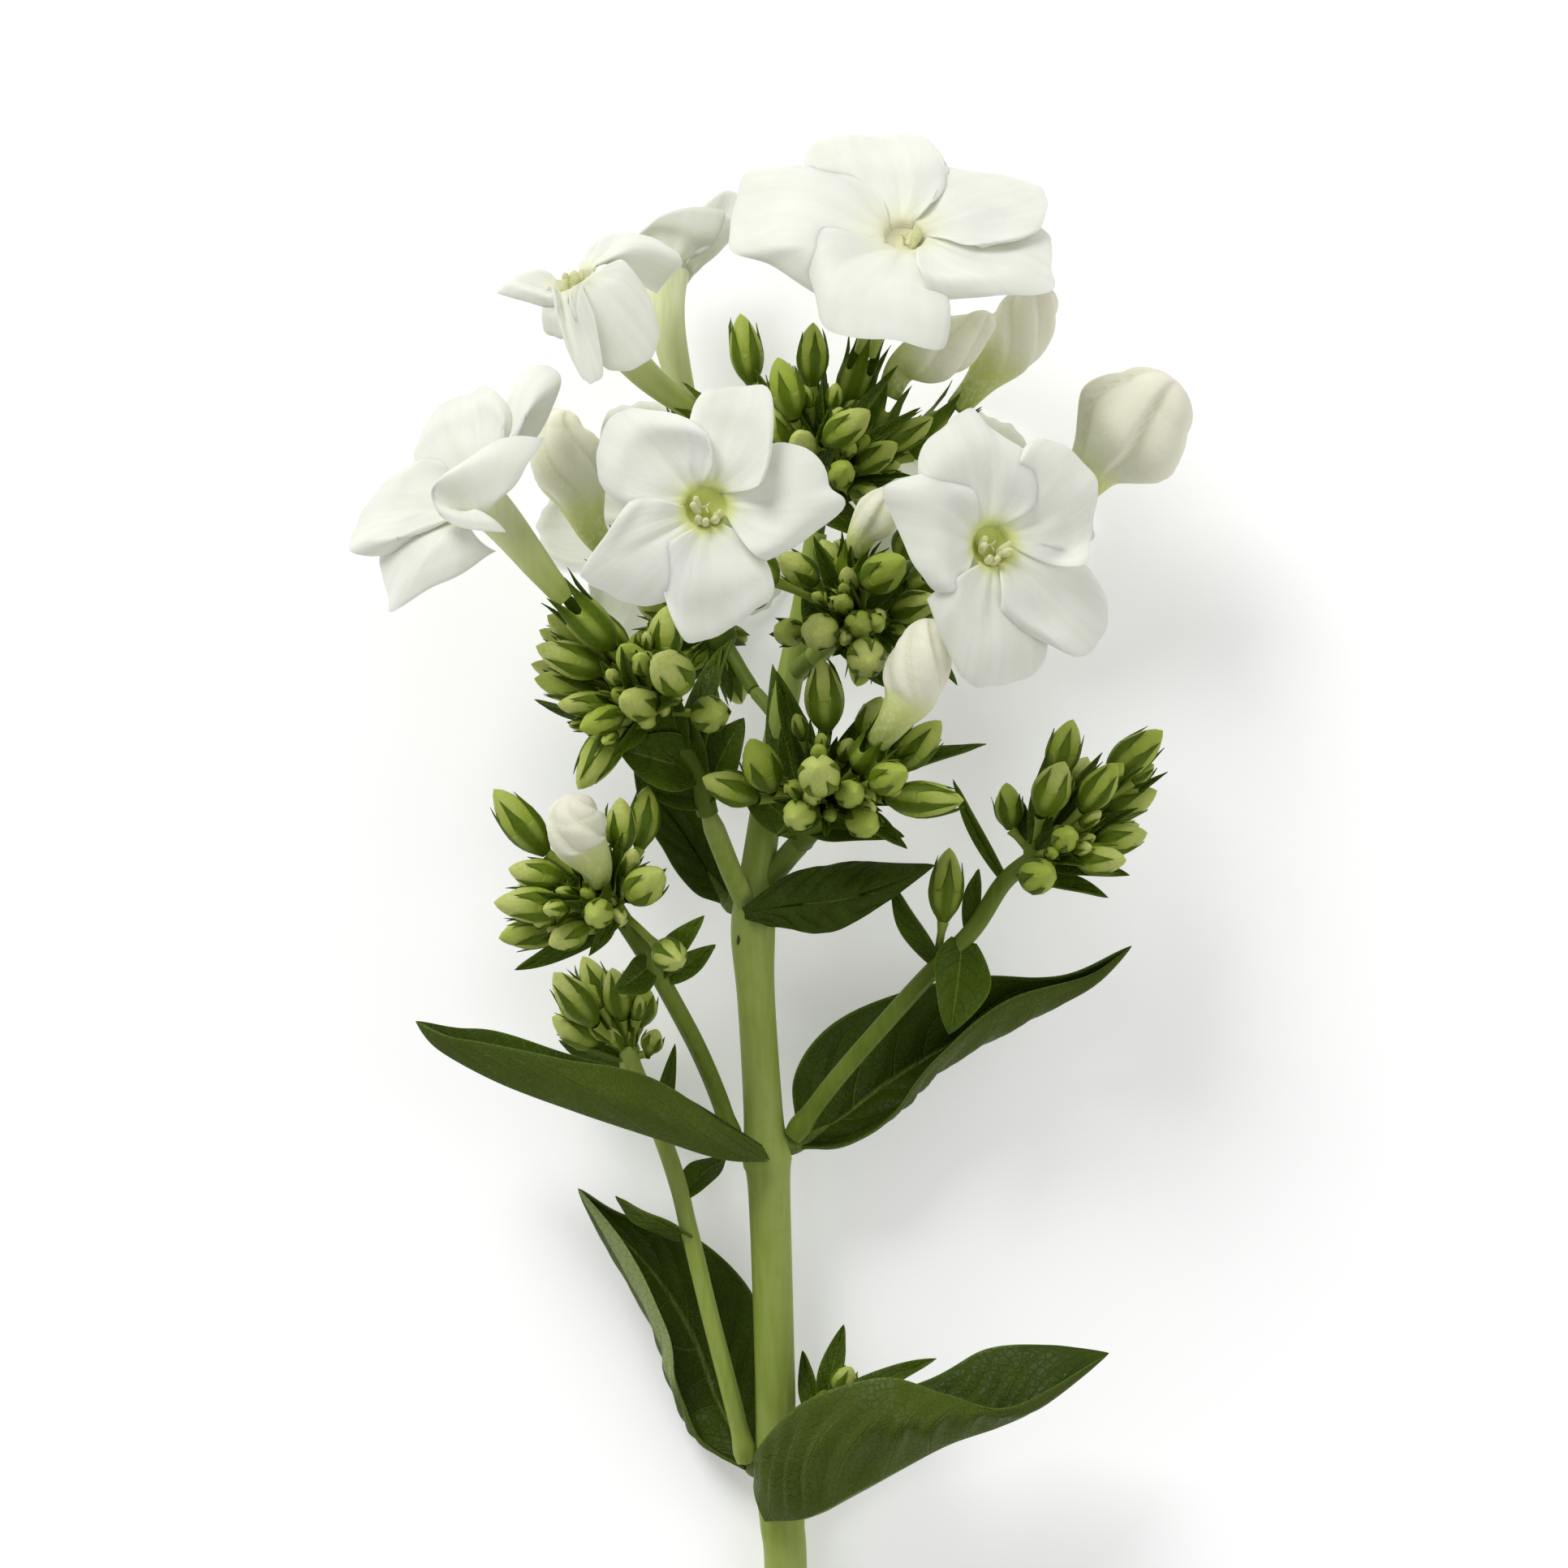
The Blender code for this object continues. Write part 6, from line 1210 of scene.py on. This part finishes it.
def tube_material():
    """A flower's tube, green at its foot and cream above, with a yellow-green throat."""
    r = Recipe("tube_cream", 0.55, Subsurface_Weight=0.4, Subsurface_Radius=(1.0, 1.0, 0.5),
               Subsurface_Scale=0.001, Specular_IOR_Level=0.2)
    along, seed = r.number("along"), r.number("seed")
    streak = r.noise(1200.0, 3.0, stretch=(1.0, 0.12, 0.3))
    foot = r.mix(r.number("rib"), (0.30, 0.38, 0.06), (0.42, 0.50, 0.12))
    tone = r.mix(r.step(along, 0.0, 0.35), foot, (0.62, 0.66, 0.30))
    tone = r.mix(r.step(along, 0.3, 0.6), tone, (0.76, 0.78, 0.52))
    tone = r.tint(tone, (0.46, 0.54, 0.18), 0.3, streak, 0.4, 0.7)
    green = r.times(r.step(seed, 0.4, 0.5), r.step(seed, 3.6, 3.5))
    throat = r.mix(green, (0.78, 0.76, 0.54), (0.68, 0.74, 0.22))
    return r.finish(r.mix(r.step(along, 0.62, 0.68), tone, throat), streak, 0.00015)


def opening_material():
    """White buds: cream, greener towards the tube, with painted shade along each fold."""
    r = Recipe("bud_cream", 0.55, Subsurface_Weight=0.4, Subsurface_Radius=(1.0, 1.0, 0.7),
               Subsurface_Scale=0.0015, Specular_IOR_Level=0.2)
    along, rib = r.number("along"), r.number("rib")
    streak = r.noise(1500.0, 3.0)
    tone = r.mix(r.step(along, 0.0, 0.34), (0.30, 0.38, 0.06), (0.62, 0.66, 0.24))
    tone = r.mix(r.step(along, 0.26, 0.50), tone, (0.82, 0.81, 0.65))
    # Painted shade: the colour is darkened along the grooves where the wound petals fold.
    crease = r.plus(r.step(rib, 0.22, 0.0), r.step(rib, 0.90, 1.0))
    tone = r.mix(r.times(crease, 0.45), tone, (0.62, 0.64, 0.36))
    tone = r.tint(tone, (0.80, 0.73, 0.64), 0.6, along, 0.80, 1.0)
    return r.finish(r.tint(tone, (0.78, 0.78, 0.66), 0.25, streak, 0.45, 0.7), streak, 0.0001)


def tip_material():
    """The petals' tips in closed green buds: pale yellow-green, darker low down, with painted shade in each
    fold.
    """
    r = Recipe("bud_tip", 0.5, Subsurface_Weight=0.2, Subsurface_Radius=(1.0, 1.0, 0.4),
               Subsurface_Scale=0.001, Specular_IOR_Level=0.15)
    along, rib, seed = r.number("along"), r.number("rib"), r.number("seed")
    pale = r.mix(r.step(r.own(seed, 0.0), 0.35, 0.65), (0.34, 0.42, 0.06), (0.52, 0.56, 0.17))
    tone = r.mix(r.step(along, 0.30, 0.75), (0.26, 0.34, 0.03), pale)
    # Painted shade: darker green in the groove below each wound petal's edge.
    tone = r.tint(tone, (0.28, 0.36, 0.07), 0.4, rib, 0.22, 0.0)
    tone = r.tint(tone, (0.60, 0.50, 0.28), 0.4, along, 0.90, 1.0)
    grain = r.noise(2200.0, 3.0)
    return r.finish(r.tint(tone, (0.30, 0.38, 0.05), 0.3, grain, 0.4, 0.7), grain, 0.0001)


def calyx_material():
    """Calyces and thin stalks: green ribs with dark pointed tips, and pale skin between the ribs."""
    r = Recipe("calyx_green", 0.5, Specular_IOR_Level=0.15)
    along, rib, seed = r.number("along"), r.number("rib"), r.number("seed")
    grain = r.noise(1800.0, 4.0)
    green = r.mix(r.step(r.own(seed, 1.0), 0.3, 0.7), (0.068, 0.118, 0.002), (0.120, 0.185, 0.006))
    green = r.tint(green, (0.13, 0.20, 0.01), 0.35, grain, 0.35, 0.7)
    pale = r.mix(r.step(along, 0.05, 0.7), (0.09, 0.145, 0.004), (0.27, 0.34, 0.05))
    edge = r.plus(rib, r.times(r.plus(grain, -0.5), 0.3))
    tone = r.mix(r.step(edge, -0.02, 0.70), pale, green)
    tooth = r.times(r.step(along, 0.70, 1.0), r.step(rib, 0.35, 0.8))
    return r.finish(r.mix(r.times(tooth, 0.6), tone, (0.050, 0.090, 0.002)), grain, 0.0001)


def leaf_material(name, upper, lower, vein, rolled=None):
    """A leaf: dark above, paler below, its midrib, side veins and net of small veins lighter."""
    r = Recipe(name, 0.42, Specular_IOR_Level=0.12, Subsurface_Weight=0.08,
               Subsurface_Radius=(0.4, 1.0, 0.2), Subsurface_Scale=0.001)
    along, across = r.number("along"), r.number("across")
    far = r.sum("ABSOLUTE", across)
    saw = r.apart(r.sum("FRACT", r.number("phase")), 0.5)
    side_vein = r.times(r.step(saw, 0.44, 0.5), r.step(far, 0.92, 0.6))
    midrib = r.times(r.step(far, 0.055, 0.02), r.step(along, 1.0, 0.7))
    net = r.node("ShaderNodeTexVoronoi", feature="DISTANCE_TO_EDGE")
    r.feed(net.inputs["Scale"], 1100.0)
    r.feed(net.inputs["Vector"], r.spot)
    mesh = r.step(net.outputs["Distance"], 0.10, 0.0)
    patch = r.step(r.noise(140.0, 4.0), 0.35, 0.7)
    fine = r.noise(1500.0, 4.0)
    top = r.mix(patch, upper, tuple(1.45 * c for c in upper))
    below = r.mix(patch, lower, tuple(1.2 * c for c in lower))
    blade = r.mix(r.step(r.number("face"), 0.4, 0.6), below, top)
    blade = r.tint(blade, lower, 0.25, fine, 0.35, 0.75)
    for marks, share in ((mesh, 0.16), (side_vein, 0.40), (midrib, 0.85), (r.step(far, 0.955, 0.99), 0.5)):
        blade = r.mix(r.times(marks, share), blade, vein)
    if rolled:
        one = r.step(r.apart(r.number("seed"), ROLLED_LEAF), 0.3, 0.1)
        strip = r.times(r.step(across, 0.66, 0.72), r.step(along, 0.36, 0.46))
        blade = r.mix(r.times(one, strip), blade, rolled)
    r.feed(r.shader.inputs["Roughness"], r.plus(r.times(fine, 0.2), 0.32))
    relief = r.sum("SUBTRACT", r.times(fine, 0.3), r.times(mesh, 0.5))
    return r.finish(blade, r.sum("SUBTRACT", relief, side_vein), 0.00015)


def stem_material(name, tone, pale, dark):
    """A stem: faint lengthwise streaks under a thin grey-green bloom, with a few darker specks.

    The short branches inside the head are painted darker, as painted shade.
    """
    r = Recipe(name, 0.5, Specular_IOR_Level=0.2, Subsurface_Weight=0.1, Subsurface_Scale=0.001)
    streak = r.noise(1400.0, 3.0, stretch=(1.0, 0.015, 1.0))
    bloom = r.noise(120.0, 6.0, stretch=(1.0, 0.5, 1.0))
    mottle = r.noise(700.0, 4.0)
    skin = r.tint(tone, pale, 0.45, streak, 0.3, 0.7)
    skin = r.tint(skin, pale, 0.6, bloom, 0.42, 0.68)
    skin = r.tint(skin, tone, 0.25, mottle, 0.5, 0.7)
    skin = r.tint(skin, dark, 0.7, r.noise(1100.0, 2.0), 0.74, 0.80)
    seed = r.number("seed")
    # Painted shade: the branches inside the head (seeds 3 to 6) are darkened towards a deep green.
    inside = r.times(r.step(seed, 2.4, 2.6), r.step(seed, 6.9, 6.7))
    skin = r.mix(r.times(inside, 0.6), skin, (0.09, 0.14, 0.008))
    skin = r.mix(r.step(seed, MARK_SEED - 0.6, MARK_SEED - 0.4), skin, dark)
    return r.finish(skin, r.plus(r.times(streak, 0.5), r.times(mottle, 0.3)), 0.00012)


def anther_material():
    """Pale yellow anthers, grainy with pollen."""
    r = Recipe("anther_yellow", 0.7)
    grain = r.noise(5200.0, 3.0)
    return r.finish(r.mix(r.step(grain, 0.35, 0.7), (0.72, 0.72, 0.32), (0.84, 0.84, 0.56)), grain, 0.0002)


def floor_material():
    """A smooth pale floor with the faintest mottling."""
    r = Recipe("floor", 0.9, Specular_IOR_Level=0.1, Emission_Color=(1.0, 1.0, 1.0, 1.0),
               Emission_Strength=FLOOR_GLOW)
    tone = r.mix(r.noise(30.0, 3.0), (0.92, 0.92, 0.92), (0.94, 0.94, 0.94))
    r.feed(r.shader.inputs["Base Color"], tone)
    return r.material


def make_stem():
    """The main stem with its swollen nodes and fine ribs, the branches of the head, and the scar."""
    skin = Skin()
    rows = 260
    sizes = smooth_curve([row[3:] for row in STEM_LINE], rows)
    turn = turns(48)
    s = np.linspace(0, 1, rows)[:, None]
    ribs = 0.012 * np.sin(11 * turn + 1.2 * np.sin(4 * s)) + 0.008 * np.sin(5 * turn + 3 * s)
    lumps = 0.012 * np.sin(2 * turn + 23 * s) + 0.006 * np.sin(3 * turn - 61 * s)
    path = curve_seen([row[:3] for row in STEM_LINE], rows)
    sweep(skin, path, sizes * (1 + ribs + lumps), hint=(0.0, 0.0, 1.0), seed=1.0)
    for number, (name, line) in enumerate(BRANCHES.items()):
        s = np.linspace(0, 1, 40)[:, None]
        radius = BRANCH_RADII.get(name, BACK_BRANCH_RADIUS) * (1 - 0.35 * smoothstep(s, 0.8, 1.0))
        ribs = 1 + 0.02 * np.sin(5 * turn[None, ::2] + 9 * s)
        sweep(skin, curve_seen(line, 40), radius * ribs, seed=2.0 + number)
    radii = 0.3 * np.sin(math.pi * np.linspace(0.02, 0.98, 12))
    sweep(skin, curve_seen(STEM_MARK, 12), radii, 10, seed=MARK_SEED)
    skin.build("stem_skin", "stem_green", "stem", ["stem"])


def add_stalk(skin, stalk, wide, shoot, seed):
    """The stalk of a bunch, from within the stem to its hub, which is a small knob."""
    known = [place(*p) for p in stalk]
    known.insert(0, known[0] + unit(known[0] - known[1]) * JOINT_DEPTH)
    line = smooth_curve(known, 24 + 8 * len(stalk))
    turn = turns(24)[None]
    s = np.linspace(0, 1, len(line))[:, None]
    gone = np.linalg.norm(np.diff(line, axis=0), axis=1).cumsum()
    swell = np.exp(-((np.concatenate([[0], gone]) - JOINT_DEPTH) / 1.5) ** 2)[:, None]
    ribs = 1 + 0.035 * np.sin(5 * turn + 4 * s) + 0.02 * np.sin(3 * turn - 21 * s)
    ribs = ribs * (1 + (JOINT_SWELL if shoot else 0.0) * swell)
    ribs = ribs * (0.45 + 0.55 * smoothstep(s * gone[-1], 0, 1.3))
    sweep(skin, line, wide * ribs, seed=seed)
    s = np.linspace(0, 1, 18)[:, None]
    knob = HUB_RADIUS * (0.55 if shoot else 0.9) * np.sqrt(np.clip(1 - (2 * s - 1) ** 2, 0, 1))
    lumpy = 1 + 0.08 * np.sin(4 * turn + 9 * s)
    path = place(*stalk[-1]) + np.array([0.0, HUB_RADIUS, 0.0]) * (2 * s - 1)
    sweep(skin, path, knob * lumpy, hint=(1.0, 0.0, 0.0), seed=seed)


def make_cyme(name, number):
    """One bunch of buds: its stalk and hub, calyces, bud tips and bracts."""
    stalk, rows, leaflets = CYMES[name]
    hub = stalk[-1]
    shoot = "shoot" in name
    stalks, green, tips, bracts = Skin(), Skin(), Skin(), Skin()
    wide = SHOOT_RADIUS if shoot else BRANCH_RADII.get(name, BACK_BRANCH_RADIUS)
    add_stalk(stalks, stalk, wide, shoot, number)
    cups = [(f.mouth, f.base, FLOWER_CALYX) for f in FLOWERS.values() if f.cyme == name]
    cups += [(bud.path[0], bud.base, bud.calyx) for bud in OPENING_BUDS.values() if bud.cyme == name]
    buds = set_apart([split(row) for row in rows], cups)
    for k, row in enumerate([(hub, *bud) for bud in buds] + SIDE_BUDS.get(name, [])):
        add_bud(green, tips, *row, seed=number + 0.37 * k)
    for k, row in enumerate(leaflets):
        add_bract(bracts, stalk, *split(row), seed=number + 0.51 * k)
    if len(buds) > 1:
        add_young(green, tips, bracts, hub, buds, number + 0.29)
    for k, cup in enumerate(cups):
        add_calyx(green, hub, *cup, seed=number + 0.71 * k)
    green.build(name + "_calyces", "calyx_green", "calyx", [name])
    # Stalks outside UNSHADED use the darker stalk material, which is partly their deeper green and partly
    # painted shade.
    stalks.build(name + "_stalk", "calyx_green", "stem" if name in PALE_STALKS else "stalk")
    tips.build(name + "_tips", "bud_cream", "tips")
    bracts.build(name + "_bracts", "leaf_green", "bracts")


def make_leaf(name, number):
    """One large leaf, with a foot where its midrib starts behind or beside the stem."""
    upper, veins, quilt, tip, rows = LEAVES[name]
    rails = [[row[k:k + 3] for k in range(0, len(row), 3)] + [tip] for row in rows]
    skin = Skin()
    add_leaf(skin, rails, upper, veins, quilt, seed=number)
    if rails[len(rails) // 2][0][2] < 1.0:
        add_petiole(skin, rails, seed=number)
    skin.build(name + "_blade", "leaf_green", "leaf", [name])


def make_flower(name, number):
    """One open flower, with its stamens where they show."""
    petals, tube = Skin(), Skin()
    flower = FLOWERS[name]
    add_flower(petals, tube, flower, PETAL_EDGES.get(name), FACE_SLOPES.get(name), float(number))
    petals.build(name + "_petals", "petal_white", "petal", [name])
    tube.build(name + "_tube", "petal_white", "tube")
    if name in SHOWN_STAMENS:
        skin = Skin()
        add_stamens(skin, flower, number + 0.5)
        skin.build(name + "_anthers", "anther_yellow", "anther", [name + "_stamens"])


def make_plant():
    make_stem()
    for number, name in enumerate(LEAVES):
        make_leaf(name, number)
    for number, name in enumerate(CYMES):
        make_cyme(name, number + 1.0)
    for number, name in enumerate(FLOWERS):
        make_flower(name, number)
    for number, (name, bud) in enumerate(OPENING_BUDS.items()):
        skin = Skin()
        add_opening_bud(skin, bud, float(number))
        skin.build(name + "_petals", "bud_cream", "opening", [name])


def area_light(name, place_at, size, power):
    """A round lamp at a place in metres, aimed at the plant."""
    light = bpy.data.lights.new(name, "AREA")
    light.shape = "DISK"
    light.size = size
    light.energy = power
    thing = bpy.data.objects.new(name, light)
    thing.location = place_at
    way = np.array(LIGHT_AIM) - np.array(place_at)
    flat = math.hypot(way[0], way[1])
    thing.rotation_euler = (math.atan2(flat, -way[2]), 0.0, math.atan2(way[1], way[0]) - math.pi / 2)
    bpy.context.scene.collection.objects.link(thing)


def make_stage():
    """The floor, the lights, and the camera straight above where the photograph shows the plant."""
    scene = bpy.context.scene
    mesh = bpy.data.meshes.new("floor")
    half = FLOOR_HALF
    corners = [(-half, -half, 0), (half, -half, 0), (half, half, 0), (-half, half, 0)]
    mesh.from_pydata(corners, [], [(0, 1, 2, 3)])
    mesh.materials.append(floor_material())
    floor = bpy.data.objects.new("floor", mesh)
    floor.location.z = -0.0002
    scene.collection.objects.link(floor)
    world = bpy.data.worlds.new("studio")
    world.use_nodes = True
    sky = world.node_tree.nodes["Background"]
    sky.inputs["Color"].default_value = (1.0, 1.0, 1.0, 1.0)
    sky.inputs["Strength"].default_value = SKY_STRENGTH
    scene.world = world
    area_light("key", (-0.50, 0.85, 0.80), 0.65, KEY_POWER)
    area_light("fill", (0.8, -0.3, 0.9), 0.9, FILL_POWER)
    eye = bpy.data.cameras.new("eye")
    eye.sensor_width = 36.0
    eye.lens = eye.sensor_width * VIEW_DISTANCE / VIEW_HEIGHT
    eye.clip_start = 0.01
    eye.clip_end = 10.0
    camera = bpy.data.objects.new("eye", eye)
    camera.location = to_world([(*VIEW_MIDDLE, VIEW_DISTANCE)])[0]
    camera.rotation_euler = (math.radians(LEAN), 0.0, 0.0)
    scene.collection.objects.link(camera)
    scene.camera = camera
    scene.view_settings.view_transform = "Standard"


MATERIALS = {
    "petal": petal_material(), "tube": tube_material(), "opening": opening_material(),
    "tips": tip_material(), "calyx": calyx_material(), "anther": anther_material(),
    "leaf": leaf_material("leaf_green", (0.032, 0.056, 0.002), (0.062, 0.092, 0.008), (0.13, 0.18, 0.03),
                          rolled=(0.27, 0.34, 0.12)),
    "bracts": leaf_material("bract_green", (0.045, 0.080, 0.002), (0.085, 0.13, 0.008), (0.16, 0.22, 0.03)),
    "stem": stem_material("stem_green", (0.24, 0.32, 0.045), (0.34, 0.41, 0.11), (0.05, 0.06, 0.01)),
    # A darker copy of the stem material for the stalks: partly their deeper green, partly painted shade.
    "stalk": stem_material("stalk_green_and_shade", (0.10, 0.155, 0.008), (0.17, 0.23, 0.03), (0.04, 0.06, 0.01)),
}
make_plant()
make_stage()
bpy.context.view_layer.update()
